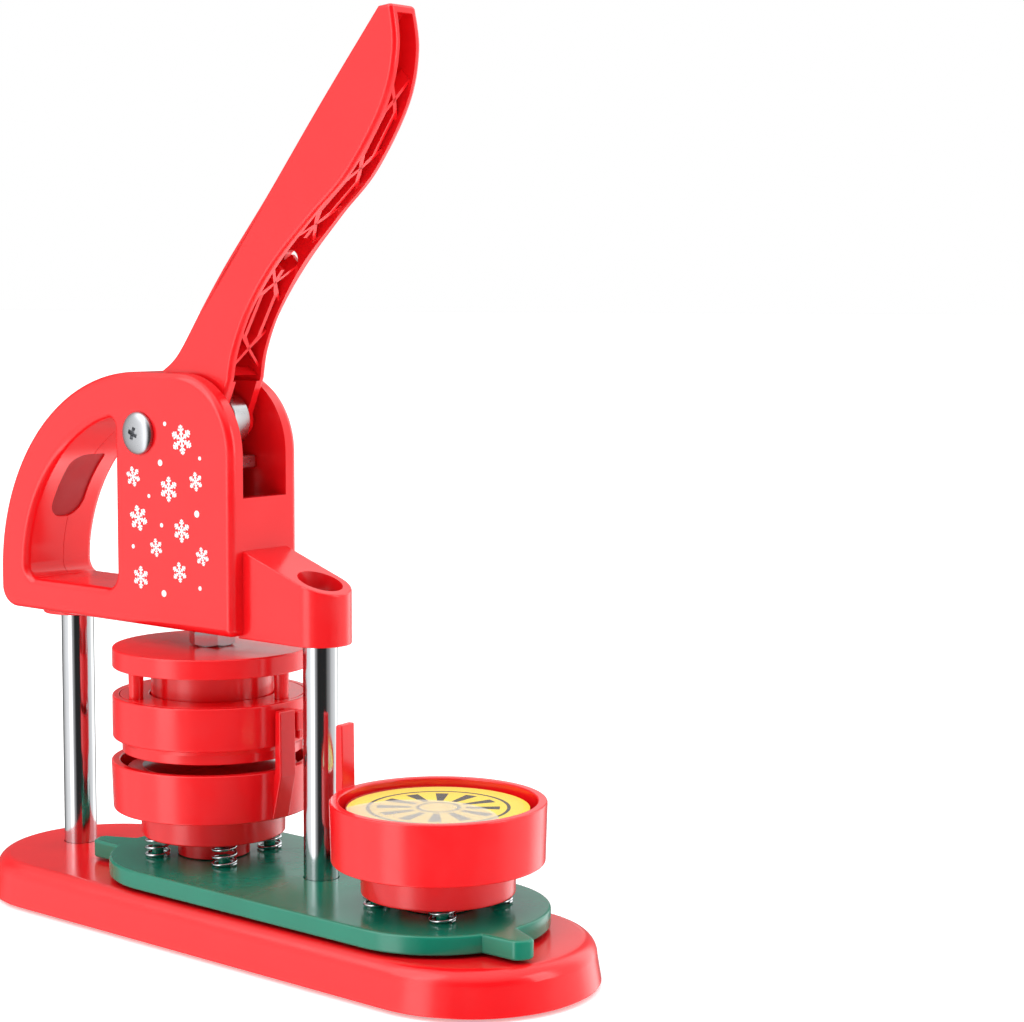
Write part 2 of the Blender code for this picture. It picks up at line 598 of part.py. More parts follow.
# ---------------------------------------------------------------- lower dies
def build_lower_die(name, die):
    x = die["x"]
    step_z = TABLE_TOP_Z + die["step"]
    foot_z = TABLE_TOP_Z + die["floor"]
    floor_z = foot_z + CUP_FLOOR
    core = [(0, CORE_TOP_Z), (CORE_R - SOFT_EDGE, CORE_TOP_Z), (CORE_R, CORE_TOP_Z - SOFT_EDGE),
            (CORE_R, floor_z + GAP),
            (CORE_STEM_R, floor_z + GAP), (CORE_STEM_R, TABLE_TOP_Z + GAP),
            (DIE_SCREW_WAY_R, TABLE_TOP_Z + GAP), (DIE_SCREW_WAY_R, TABLE_TOP_Z + DIE_SCREW_TAP),
            (0, TABLE_TOP_Z + DIE_SCREW_TAP)]
    smooth(turned(name + "_core", core, "red_plastic", (x, 0, 0)))
    screw_top = TABLE_TOP_Z + DIE_SCREW_LENGTH
    head_top = TABLE_TOP_Z - TABLE_THICK + DIE_SCREW_SEAT - GAP
    head_foot = TABLE_TOP_Z - TABLE_THICK + GAP
    screw = turned(name + "_core_screw", [
        (0, screw_top), (DIE_SCREW_R, screw_top), (DIE_SCREW_R, head_top), (DIE_SCREW_HEAD_R, head_top),
        (DIE_SCREW_HEAD_R, head_foot), (0, head_foot)], "steel", (x, 0, 0), steps=ROUND_SMALL)
    cut(screw, cylinder(name + "_screw_hex", DIE_KEY_R, BELOW_Z, head_foot + DIE_KEY_DEPTH, x, steps=6))

    soft = SOFT_EDGE
    cup = turned(name + "_cup", [
        (CUP_BORE_R, CUP_RIM_Z - soft), (CUP_BORE_R + soft, CUP_RIM_Z), (CUP_R - soft, CUP_RIM_Z),
        (CUP_R, CUP_RIM_Z - soft), (CUP_FOOT_R, foot_z + soft), (CUP_FOOT_R - soft, foot_z), (STEP_R, foot_z),
        (STEP_R, step_z + soft), (STEP_R - soft, step_z), (CORE_STEM_R + GAP, step_z),
        (CORE_STEM_R + GAP, floor_z), (CUP_BORE_R, floor_z)], "red_plastic", (x, 0, 0))
    half = POST_WIDTH / 2
    taper_z = CUP_RIM_Z - MM
    post = [(CUP_FOOT_R - MM, foot_z), (CUP_FOOT_R, foot_z), (POST_OUTER_R, taper_z),
            (POST_OUTER_R, POST_TOP_Z), (POST_INNER_R, POST_TOP_Z), (POST_INNER_R, taper_z + MM),
            (CUP_R - MM, taper_z - 3 * MM)]
    post_slab = slab(name + "_post", [post], -half, half, upright=True)
    bevel(post_slab, SOFT_EDGE, 1)
    post_slab.location = (x, 0, 0)
    post_slab.rotation_euler = (0, 0, math.radians(die["post_deg"]))
    join(cup, post_slab)
    ceiling = step_z + SPRING_POCKET
    pocket_r = SPRING_R + SPRING_WIRE_R + GAP
    for i, (spring_x, spring_y) in enumerate(spring_places(die), 1):
        cut(cup, cylinder(f"{name}_pocket_{i}", pocket_r, step_z - MM, ceiling, spring_x, spring_y,
                          steps=ROUND_SMALL))
        coil(f"{name}_spring_{i}", SPRING_R, SPRING_WIRE_R, TABLE_TOP_Z + GAP, ceiling - GAP,
             die["turns"], "steel", spring_x, spring_y)
    smooth(cup)


def build_blanks():
    low = CORE_TOP_Z + GAP
    dome = [(SHELL_R * math.sin(a), low + SHELL_RIM + SHELL_CROWN * math.cos(a) ** 2)
            for a in (math.radians(90 * i / 5) for i in range(6))]
    smooth(turned("badge_shell", dome + [(SHELL_R, low), (0, low)], "tinplate", (DIE_A_X, 0, 0)))
    smooth(turned("artwork_disc", rod_profile(ART_R, low, low + SHEET_THICK), "yellow_paper",
                  (DIE_B_X, 0, 0)))
    film_low = low + SHEET_THICK + GAP
    smooth(turned("clear_film_disc", rod_profile(FILM_R, film_low, film_low + SHEET_THICK), "clear_film",
                  (DIE_B_X + FILM_SHIFT[0], FILM_SHIFT[1], 0)))


# ---------------------------------------------------------------- upper die and ram
def leg_places():
    angles = (math.radians(LEG_START_DEG + 360 / LEG_COUNT * i) for i in range(LEG_COUNT))
    return [(PRESS_X + LEG_RING_R * math.cos(a), LEG_RING_R * math.sin(a)) for a in angles]


def build_upper_die():
    place = (PRESS_X, 0, 0)
    soft = SOFT_EDGE
    disc = tube_profile(DISC_R, RAM_R + GAP, DISC_FOOT_Z, DISC_TOP_Z, soft)
    smooth(turned("upper_disc", disc, "red_plastic", place))
    stem_top = DISC_FOOT_Z - GAP
    seat_z = UPPER_FLANGE_FOOT_Z + CORE_RECESS_DEPTH
    core = [(RAM_R + GAP, stem_top), (UPPER_STEM_R, stem_top), (UPPER_STEM_R, UPPER_FLANGE_TOP_Z),
            (UPPER_FLANGE_R, UPPER_FLANGE_TOP_Z), (UPPER_FLANGE_R, UPPER_FLANGE_FOOT_Z),
            (CORE_RECESS_R, UPPER_FLANGE_FOOT_Z), (CORE_RECESS_R, seat_z), (CORE_SCREW_WAY_R, seat_z),
            (CORE_SCREW_WAY_R, RAM_FOOT_Z - GAP),
            (RAM_R + GAP, RAM_FOOT_Z - GAP)]
    smooth(turned("upper_core", core, "red_plastic", place))
    screw_top = RAM_FOOT_Z + RAM_TAP - 2 * MM
    head_foot = UPPER_FLANGE_FOOT_Z + GAP
    screw = turned("upper_core_screw", [
        (0, screw_top), (CORE_SCREW_R, screw_top), (CORE_SCREW_R, seat_z - GAP),
        (CORE_SCREW_HEAD_R, seat_z - GAP), (CORE_SCREW_HEAD_R, head_foot), (0, head_foot)], "steel", place,
        steps=ROUND_SMALL)
    cut(screw, cylinder("upper_screw_hex", CORE_KEY_R, BELOW_Z, head_foot + CORE_KEY_DEPTH, PRESS_X, steps=6))
    for i, (x, y) in enumerate(leg_places(), 1):
        low = UPPER_FLANGE_TOP_Z + RING_PLAY
        smooth(turned(f"guide_leg_{i}", rod_profile(LEG_R, low, DISC_FOOT_Z - GAP), "red_plastic", (x, y, 0),
                      steps=ROUND_SMALL))

    shoulder_z = UPPER_FLANGE_TOP_Z + GAP
    rib_low, rib_high, rib_r = RIB_FOOT_Z, RIB_TOP_Z, SLEEVE_R + RIB
    sleeve = turned("float_sleeve", [
        (SHOULDER_BORE_R, RING_TOP_Z), (SLEEVE_R, RING_TOP_Z), (SLEEVE_R, rib_high + RIB / 2),
        (rib_r, rib_high),
        (rib_r, rib_low), (SLEEVE_R, rib_low - RIB / 2), (SLEEVE_R, RING_FOOT_Z), (LIP_R, RING_FOOT_Z - GAP),
        (LIP_R, LIP_FOOT_Z + soft), (LIP_R - soft, LIP_FOOT_Z), (LIP_BORE_R, LIP_FOOT_Z),
        (LIP_BORE_R, shoulder_z), (SHOULDER_BORE_R, shoulder_z)], "red_plastic", place)
    for i, (x, y) in enumerate(leg_places(), 1):
        cut(sleeve, cylinder(f"leg_way_{i}", LEG_R + GAP, shoulder_z - LEG_WAY_DEPTH, RING_TOP_Z + MM, x, y,
                             steps=ROUND_SMALL))
    smooth(sleeve)
    bore, groove = SLEEVE_R + RING_PLAY, rib_r + RING_PLAY
    ring = turned("selector_ring", [
        (bore, RING_TOP_Z), (RING_R - soft, RING_TOP_Z), (RING_R, RING_TOP_Z - soft),
        (RING_R, RING_FOOT_Z + soft),
        (RING_R - soft, RING_FOOT_Z), (bore, RING_FOOT_Z), (bore, rib_low - RIB), (groove, rib_low - GAP),
        (groove, rib_high + GAP), (bore, rib_high + RIB)], "red_plastic", place)
    for label, lug in LUGS.items():
        first, last = lug["degrees"]
        outline = arc(0, 0, lug["reach"], first, last, 4) + arc(0, 0, RING_R - MM, last, first, 4)
        low, high = RING_FOOT_Z + lug["low"], RING_FOOT_Z + lug["high"]
        join(ring, slab("lug_" + label, [outline], low, high, location=place))
    smooth(ring)


def build_ram():
    place = (PRESS_X, 0, 0)
    shaft = [(0, RAM_TOP_Z), (RAM_R, RAM_TOP_Z), (RAM_R, RAM_FOOT_Z), (RAM_TAP_R, RAM_FOOT_Z),
             (RAM_TAP_R, RAM_FOOT_Z + RAM_TAP), (0, RAM_FOOT_Z + RAM_TAP)]
    smooth(turned("ram_shaft", shaft, "steel", place, steps=ROUND_MID))
    pad = block("ram_pad", (PRESS_X + PAD_REAR, -PAD_HALF_WIDTH, PAD_FOOT_Z),
                (PRESS_X + PAD_FRONT, PAD_HALF_WIDTH, PAD_TOP_Z), "steel")
    bevel(pad, 0.8 * MM, 2)
    nut = cylinder("ram_nut", NUT_ACROSS_FLATS / math.sqrt(3), DISC_TOP_Z + RING_PLAY, HEAD_FOOT_Z - NUT_PLAY,
                   PRESS_X, material="steel", steps=6)
    bevel(nut, SOFT_EDGE, 2)
    cut(nut, cylinder("nut_bore", RAM_R + GAP, WAIST_Z, HEAD_FOOT_Z + MM, PRESS_X))
    bush = tube_profile(BUSH_R, RAM_R + BUSH_PLAY, HEAD_FOOT_Z + GAP, CAVITY_FOOT_Z)
    smooth(turned("ram_bush", bush, "bronze", place, steps=ROUND_MID))
    spring = RETURN_SPRING
    coil("ram_return_spring", spring["radius"], spring["wire"], CAVITY_FOOT_Z + GAP, PAD_FOOT_Z - GAP,
         spring["turns"], "steel", PRESS_X, per_turn=12)


# ---------------------------------------------------------------- head
def rounded_corner(corner, before, after, radius, steps=4):
    """A fillet at a corner of straight sides that run to the points before and after it."""
    corner, before, after = Vector(corner), Vector(before), Vector(after)
    way_in = (before - corner).normalized()
    way_out = (after - corner).normalized()
    half = way_in.angle(way_out) / 2
    center = corner + (way_in + way_out).normalized() * radius / math.sin(half)
    start = corner + way_in * radius / math.tan(half) - center
    end = corner + way_out * radius / math.tan(half) - center
    sweep = start.angle_signed(end)
    result = []
    for i in range(steps + 1):
        spoke = start.copy()
        spoke.rotate(Matrix.Rotation(-sweep * i / steps, 2))
        result.append(tuple(center + spoke))
    return result


def grip_hole():
    center = (HEAD_BACK_X, HEAD_TOP_Z - HEAD_BACK_R)
    front_rise = math.sqrt(GRIP_R ** 2 - (GRIP_FRONT_X - center[0]) ** 2)
    floor_run = math.sqrt(GRIP_R ** 2 - (GRIP_FLOOR_Z - center[1]) ** 2)
    top = (GRIP_FRONT_X, center[1] + front_rise)
    heel = (center[0] - floor_run, GRIP_FLOOR_Z)
    toe = (GRIP_FRONT_X, GRIP_FLOOR_Z)
    top_deg = math.degrees(math.atan2(front_rise, GRIP_FRONT_X - center[0]))
    back = arc(*center, GRIP_R, top_deg + 8, 171, 10)
    return (rounded_corner(top, toe, back[0], GRIP_CORNER_R) + back
            + rounded_corner(heel, back[-1], toe, GRIP_CORNER_R)
            + rounded_corner(toe, heel, top, GRIP_CORNER_R))


def head_outline():
    back_z = HEAD_TOP_Z - HEAD_BACK_R
    rear_x = HEAD_BACK_X - HEAD_BACK_R
    crown = arc(HEAD_FRONT_X - HEAD_CROWN_R, HEAD_TOP_Z - HEAD_CROWN_R, HEAD_CROWN_R, 0, 90, 8)
    back = arc(HEAD_BACK_X, back_z, HEAD_BACK_R, 90, 180, 16)
    heel = arc(rear_x + HEAD_HEEL_R, HEAD_FOOT_Z + HEAD_HEEL_R, HEAD_HEEL_R, 180, 270, 5)
    return [(HEAD_FRONT_X, HEAD_FOOT_Z)] + crown + back + heel


def slot_outline():
    """The lever slot: open over the top and front, with a well below it for the ram pad and its spring."""
    over = HEAD_TOP_Z + 5 * MM
    ahead = HEAD_FRONT_X + 5 * MM
    well_front = HEAD_FRONT_X - FRONT_WALL
    hub = arc(PIVOT_X, PIVOT_Z, HUB_R + HUB_CLEARANCE, 130, 250, 10)
    return [(SLOT_BACK_X, over), (SLOT_BACK_X, HEAD_TOP_Z - 3 * MM)] + hub + [
        (WELL_BACK_X, PIVOT_Z - WELL_SHOULDER), (WELL_BACK_X, CAVITY_FOOT_Z), (well_front, CAVITY_FOOT_Z),
        (well_front, SLOT_SILL_Z), (ahead, SLOT_SILL_Z), (ahead, over)]


def build_head():
    head = slab("press_head", [head_outline(), grip_hole()], -HEAD_HALF, HEAD_HALF, "red_plastic", True)
    bevel(head, HEAD_EDGE_R, 2)
    boss_rise = BOSS_TOP_AT_FACE_Z - BOSS_SLOPE * BOSS_ROOT
    boss_root_x = HEAD_FRONT_X - BOSS_ROOT
    boss_end = FRONT_ROD_X + BOSS_R + MM
    drop = BOSS_SLOPE * (boss_end - HEAD_FRONT_X)
    boss_side = [(boss_root_x, BOSS_FOOT_Z), (boss_end, BOSS_FOOT_Z), (boss_end, BOSS_TOP_AT_FACE_Z + drop),
                 (boss_root_x, boss_rise)]
    boss_plan = arc(FRONT_ROD_X, 0, BOSS_R, -90, 90, 20) + [(boss_root_x, BOSS_R), (boss_root_x, -BOSS_R)]
    boss = slab("front_boss", [boss_plan], BOSS_FOOT_Z, BOSS_TOP_AT_FACE_Z + 4 * MM)
    boolean(boss, slab("front_boss_side", [boss_side], -2 * BOSS_R, 2 * BOSS_R, upright=True), "INTERSECT")
    bevel(boss, SOFT_EDGE, 2, angle=50)
    boss_profile = rod_profile(REAR_BOSS_R, REAR_BOSS_FOOT_Z, HEAD_FOOT_Z + 5 * MM, SOFT_EDGE)
    rear_boss = turned("rear_boss", boss_profile, None, (REAR_ROD_X, 0, 0), steps=ROUND_MID)
    join(head, boss, rear_boss)
    cut(head, cross_cylinder("pivot_way", PIVOT_R + GAP, -ACROSS_Y, ACROSS_Y, PIVOT_X, PIVOT_Z))
    cut(head, slab("lever_slot", [slot_outline()], -SLOT_HALF, SLOT_HALF, upright=True))
    cut(head, cylinder("ram_bore", BUSH_R + GAP, WAIST_Z, CAVITY_FOOT_Z + MM, PRESS_X))
    cut(head, cylinder("front_rod_socket", ROD_R + GAP, WAIST_Z, FRONT_ROD_TOP_Z + GAP, FRONT_ROD_X))
    cut(head, cylinder("front_bolt_way", COLUMN_BOLT_R + GAP, WAIST_Z, COUNTERBORE_FOOT_Z + MM, FRONT_ROD_X))
    cut(head, cylinder("counterbore", COUNTERBORE_R, COUNTERBORE_FOOT_Z, OVER_Z, FRONT_ROD_X))
    grub_z = (HEAD_FOOT_Z + REAR_ROD_TOP_Z) / 2
    rear_socket = cylinder("rear_rod_socket", ROD_R + GAP, WAIST_Z, REAR_ROD_TOP_Z + GAP, REAR_ROD_X,
                           steps=20)
    grub_way = cross_cylinder("grub_way", GRUB_R + GAP, MM, HEAD_HALF + MM, REAR_ROD_X, grub_z, steps=10)
    cut(head, join(rear_socket, grub_way))
    smooth(head)

    grub_end = HEAD_HALF - 2 * MM
    grub = cross_cylinder("rear_column_set_screw", GRUB_R, ROD_R + GAP, grub_end, REAR_ROD_X, grub_z, "steel",
                          ROUND_SMALL)
    cut(grub, cross_cylinder("grub_hex", GRUB_KEY_R, grub_end - GRUB_KEY_DEPTH, HEAD_HALF, REAR_ROD_X,
                             grub_z, steps=6))
    head_low = COUNTERBORE_FOOT_Z + GAP
    head_top = head_low + HEAD_BOLT_HEAD
    shank_low = FRONT_ROD_TOP_Z - HEAD_BOLT_REACH
    bolt = turned("front_head_bolt", [
        (0, head_top), (COLUMN_BOLT_HEAD_R - SOFT_EDGE, head_top), (COLUMN_BOLT_HEAD_R, head_top - SOFT_EDGE),
        (COLUMN_BOLT_HEAD_R, head_low), (COLUMN_BOLT_R, head_low), (COLUMN_BOLT_R, shank_low),
        (0, shank_low)], "steel", (FRONT_ROD_X, 0, 0), steps=ROUND_SMALL)
    cut(bolt, cylinder("head_bolt_hex", HEAD_BOLT_KEY_R, head_top - HEAD_BOLT_HEAD / 2, OVER_Z, FRONT_ROD_X,
                       steps=6))


def build_pivot():
    """The pivot screw runs along Y: its profile is turned about Z and laid over."""
    lay_over = (math.radians(90), 0, 0)
    place = (PIVOT_X, 0, PIVOT_Z)
    seat = HEAD_HALF + GAP
    rise = SCREW_HEAD_HEIGHT - SCREW_HEAD_RIM
    crown = [(SCREW_HEAD_R * math.sin(a), seat + SCREW_HEAD_RIM + rise * math.cos(a))
             for a in (math.radians(90 * i / 4) for i in range(5))]
    shank = [(SCREW_HEAD_R, seat), (PIVOT_R, seat), (PIVOT_R, -seat), (0, -seat)]
    screw = turned("pivot_screw", crown + shank, "chrome", place, lay_over, steps=ROUND_MID)
    for i in range(2):
        recess = block(f"cross_recess_{i}", -Vector(CROSS_RECESS) / 2, Vector(CROSS_RECESS) / 2)
        recess.location = (PIVOT_X, -seat - SCREW_HEAD_HEIGHT, PIVOT_Z)
        recess.rotation_euler = (math.radians(90), math.radians(CROSS_TURN_DEG + 90 * i), 0)
        cut(screw, recess)
    smooth(screw)
    cap = [(radius * MM, seat + height * MM) for radius, height in CAP_NUT_PROFILE]
    smooth(turned("pivot_cap_nut", cap, "chrome", place, (math.radians(-90), 0, 0), steps=ROUND_MID))


# ---------------------------------------------------------------- lever
def lever_outline():
    """Counter-clockwise from the tip: down the back, round the hub and the roller ear, up the front."""
    hub = arc(0, 0, HUB_R, 120, 288, 10)
    ear = arc(ROLLER_X, ROLLER_Z, PIN_EAR_R, -72, 20, 8)
    return flowing(LEVER_BACK, 2) + hub + ear + flowing(LEVER_FRONT, 2)


def narrow_to_tip(obj):
    """The lever is widest at its root and narrows evenly to its tip."""
    tip_z = LEVER_FRONT[-1][1] * MM
    root_z = LEVER_FRONT[0][1] * MM
    for vert in obj.data.vertices:
        share = min(max((vert.co.z - root_z) / (tip_z - root_z), 0.0), 1.0)
        vert.co.y *= 1 + share * (LEVER_TIP_HALF / LEVER_ROOT_HALF - 1)
    return obj


def build_lever():
    place = (PIVOT_X, 0, PIVOT_Z)
    lever = slab("lever", [lever_outline()], -LEVER_ROOT_HALF, LEVER_ROOT_HALF, "red_plastic", True, place)
    narrow_to_tip(lever)
    bevel(lever, LEVER_EDGE_R, 2, angle=50)
    back = flowing(LEVER_BACK, 2)
    inner_back = shifted(back[1:], LEVER_WALL)
    front = flowing(LEVER_FRONT, 2)
    outer_front = shifted(front, -CHANNEL_MOUTH)
    channel = inner_back + [(x * MM, z * MM) for x, z in CHANNEL_FLOOR] + outer_front[3:-1]
    channel_half = LEVER_ROOT_HALF - LEVER_WALL
    narrow = narrow_to_tip(slab("lever_channel", [channel], -channel_half, channel_half, None, True, place))
    cut(lever, narrow)
    around_roller = arc(ROLLER_X, ROLLER_Z, ROLLER_R + ROLLER_CLEARANCE, 100, 240, 12)
    clevis = around_roller + [(x * MM, z * MM) for x, z in CLEVIS_CORNERS]
    cut(lever, slab("clevis_gap", [clevis], -CLEVIS_HALF, CLEVIS_HALF, None, True, place))
    cut(lever, cross_cylinder("lever_bore", PIVOT_R + GAP, -ACROSS_Y, ACROSS_Y, PIVOT_X, PIVOT_Z))
    roller_x, roller_z = PIVOT_X + ROLLER_X, PIVOT_Z + ROLLER_Z
    cut(lever, cross_cylinder("pin_way", PIN_R + GAP, -ACROSS_Y, ACROSS_Y, roller_x, roller_z,
                              steps=ROUND_SMALL))
    smooth(lever)

    cross_cylinder("roller_pin", PIN_R, -LEVER_ROOT_HALF, LEVER_ROOT_HALF, roller_x, roller_z, "steel")
    for name, ring in ROLLER_RINGS.items():
        profile = tube_profile(ring["outer"], ring["inner"], ring["low"], ring["high"], ring.get("soft", 0))
        smooth(turned(name, profile, "steel", (roller_x, 0, roller_z), (math.radians(90), 0, 0),
                      steps=ROUND_MID))
    balls = arc(BALL_RING_R, 0, BALL_R, 90, -210, 5)
    smooth(turned("roller_ball_ring", balls, "steel", (roller_x, 0, roller_z), (math.radians(90), 0, 0),
                  steps=ROUND_MID))


build_base()
build_columns()
build_table()
for die_name, die_data in DIES.items():
    build_lower_die(die_name, die_data)
build_blanks()
build_upper_die()
build_ram()
build_head()
build_pivot()
build_lever()
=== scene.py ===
"""Looks for the hand-lever badge press: fine moulded shells, springs, bearing, print and materials.

Sizes are in millimetres. Heights are above the turning table's top, and X is ahead of the press axis,
unless a function says otherwise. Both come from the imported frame.
"""

import json
import math
from math import cos, radians, sin

import bmesh
import bpy
from mathutils import Matrix, Vector


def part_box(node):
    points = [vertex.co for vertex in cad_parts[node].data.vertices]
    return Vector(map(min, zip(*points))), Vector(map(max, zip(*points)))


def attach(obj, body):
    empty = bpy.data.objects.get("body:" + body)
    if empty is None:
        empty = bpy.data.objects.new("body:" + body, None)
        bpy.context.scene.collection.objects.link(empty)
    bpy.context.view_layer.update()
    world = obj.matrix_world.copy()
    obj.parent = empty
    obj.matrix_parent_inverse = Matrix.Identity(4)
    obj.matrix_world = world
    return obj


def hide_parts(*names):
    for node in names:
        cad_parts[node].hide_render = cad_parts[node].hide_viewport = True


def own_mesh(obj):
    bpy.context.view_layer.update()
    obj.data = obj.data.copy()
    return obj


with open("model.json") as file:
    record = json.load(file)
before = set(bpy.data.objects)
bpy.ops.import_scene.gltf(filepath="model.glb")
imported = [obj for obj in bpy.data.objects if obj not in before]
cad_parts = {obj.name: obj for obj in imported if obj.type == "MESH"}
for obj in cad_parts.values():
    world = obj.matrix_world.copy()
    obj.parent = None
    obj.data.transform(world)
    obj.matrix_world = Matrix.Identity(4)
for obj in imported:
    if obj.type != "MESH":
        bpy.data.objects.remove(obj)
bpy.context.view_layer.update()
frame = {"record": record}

MM = 0.001
GAP = 0.3
LAY_OVER = (radians(90), 0, 0)


def middle(node):
    low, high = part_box(node)
    return (low + high) / 2


PRESS_X = middle("upper_disc").x
FRONT_ROD_X = middle("front_column").x
REAR_ROD_X = middle("rear_column").x
TABLE_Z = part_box("die_a_core")[0].z - GAP * MM
PIVOT = Vector((middle("pivot_screw").x, 0, middle("pivot_screw").z))
ROLLER = middle("roller_outer_race")
BODY_OF = {node: body for body, nodes in frame["record"]["behaviour"]["bodies"].items() for node in nodes}
FRONT_ROD = (FRONT_ROD_X - PRESS_X) / MM
DIES = {
    "die_a": {"x": PRESS_X, "step": 9.2, "floor": 20.7, "post_deg": -2.0, "spring_deg": 57.0, "turns": 5.5,
              "press": "die_a_press"},
    "die_b": {"x": middle("die_b_core").x, "step": 5.2, "floor": 17.3, "post_deg": 187.5, "spring_deg": 45.0,
              "turns": 4.5, "press": "die_b_press"},
}


def span(node):
    """The lowest and highest heights of a CAD node above the ground, in millimetres."""
    return [corner.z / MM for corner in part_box(node)]


def quarter(steps):
    """Angles in radians from 0 to 90 degrees."""
    return [radians(90 * i / steps) for i in range(steps + 1)]


# ---------------------------------------------------------------- materials
def link(output, socket):
    output.id_data.links.new(output, socket)


def new_material(name, color, roughness, metallic=0.0):
    material = bpy.data.materials.new(name)
    material.use_nodes = True
    tree = material.node_tree
    shader = tree.nodes["Principled BSDF"]
    shader.inputs["Base Color"].default_value = (*color, 1.0)
    shader.inputs["Roughness"].default_value = roughness
    shader.inputs["Metallic"].default_value = metallic
    place = tree.nodes.new("ShaderNodeTexCoord")
    return material, tree, shader, place.outputs["Object"]


def noise(tree, place, scale, detail=3.0, stretch=(1, 1, 1)):
    mapping = tree.nodes.new("ShaderNodeMapping")
    mapping.inputs["Scale"].default_value = stretch
    link(place, mapping.inputs["Vector"])
    texture = tree.nodes.new("ShaderNodeTexNoise")
    texture.inputs["Scale"].default_value = scale
    texture.inputs["Detail"].default_value = detail
    link(mapping.outputs["Vector"], texture.inputs["Vector"])
    return texture.outputs["Fac"]


def ranged(tree, value, low, high, source_low=0.3, source_high=0.7):
    node = tree.nodes.new("ShaderNodeMapRange")
    node.inputs["From Min"].default_value = source_low
    node.inputs["From Max"].default_value = source_high
    node.inputs["To Min"].default_value = low
    node.inputs["To Max"].default_value = high
    link(value, node.inputs["Value"])
    return node.outputs["Result"]


def two_tone(tree, value, dark, light):
    ramp = tree.nodes.new("ShaderNodeValToRGB")
    ramp.color_ramp.elements[0].position = 0.3
    ramp.color_ramp.elements[0].color = (*dark, 1.0)
    ramp.color_ramp.elements[1].position = 0.7
    ramp.color_ramp.elements[1].color = (*light, 1.0)
    link(value, ramp.inputs["Fac"])
    return ramp.outputs["Color"]


def add_bump(tree, shader, layers):
    """Bumps in layers of (height value, strength, distance in millimetres), the coarsest first."""
    normal = None
    for value, strength, distance in layers:
        bump = tree.nodes.new("ShaderNodeBump")
        bump.inputs["Strength"].default_value = strength
        bump.inputs["Distance"].default_value = distance * MM
        link(value, bump.inputs["Height"])
        if normal is not None:
            link(normal, bump.inputs["Normal"])
        normal = bump.outputs["Normal"]
    link(normal, shader.inputs["Normal"])


def moulded_plastic(name, color, depth, roughness):
    """Satin moulded plastic: slow flow marks, a fine spark-eroded grain and faint handling haze."""
    material, tree, shader, place = new_material(name, color, roughness)
    flow = noise(tree, place, 26.0, 2.0, (1, 1, 0.5))
    dark = tuple(c * (1 - depth) for c in color)
    light = tuple(min(c * (1 + depth), 1.0) for c in color)
    link(two_tone(tree, flow, dark, light), shader.inputs["Base Color"])
    haze = noise(tree, place, 70.0, 5.0)
    link(ranged(tree, haze, roughness - 0.05, roughness + 0.07), shader.inputs["Roughness"])
    grain = noise(tree, place, 2600.0, 2.0)
    add_bump(tree, shader, ((flow, 0.10, 0.25), (grain, 0.10, 0.02)))
    shader.inputs["Specular IOR Level"].default_value = 0.6
    return material


def plated_metal(name, color, low, high):
    """Bright plating: almost a mirror, with hair-fine polishing marks and faint clouding."""
    material, tree, shader, place = new_material(name, color, low, 1.0)
    polish = noise(tree, place, 2400.0, 3.0, (1, 1, 0.02))
    link(ranged(tree, polish, low, high), shader.inputs["Roughness"])
    cloud = noise(tree, place, 35.0, 3.0)
    link(two_tone(tree, cloud, tuple(c * 0.95 for c in color), color), shader.inputs["Base Color"])
    add_bump(tree, shader, ((polish, 0.02, 0.003),))
    return material


def machined_steel(name, color, low, high):
    """Turned or ground steel: fine tool rings with a little staining."""
    material, tree, shader, place = new_material(name, color, low, 1.0)
    rings = tree.nodes.new("ShaderNodeTexWave")
    rings.wave_type = "RINGS"
    rings.rings_direction = "Z"
    rings.inputs["Scale"].default_value = 900.0
    rings.inputs["Distortion"].default_value = 1.5
    rings.inputs["Detail"].default_value = 2.0
    link(place, rings.inputs["Vector"])
    stain = noise(tree, place, 160.0, 5.0)
    link(two_tone(tree, stain, tuple(c * 0.82 for c in color), color), shader.inputs["Base Color"])
    link(ranged(tree, stain, low, high), shader.inputs["Roughness"])
    add_bump(tree, shader, ((rings.outputs["Fac"], 0.06, 0.02), (stain, 0.05, 0.03)))
    return material


def foot_rubber(name):
    material, tree, shader, place = new_material(name, (0.025, 0.025, 0.026), 0.75)
    speckle = noise(tree, place, 900.0, 4.0)
    link(two_tone(tree, speckle, (0.018, 0.018, 0.019), (0.04, 0.04, 0.041)), shader.inputs["Base Color"])
    link(ranged(tree, speckle, 0.68, 0.88), shader.inputs["Roughness"])
    add_bump(tree, shader, ((speckle, 0.3, 0.05),))
    return material


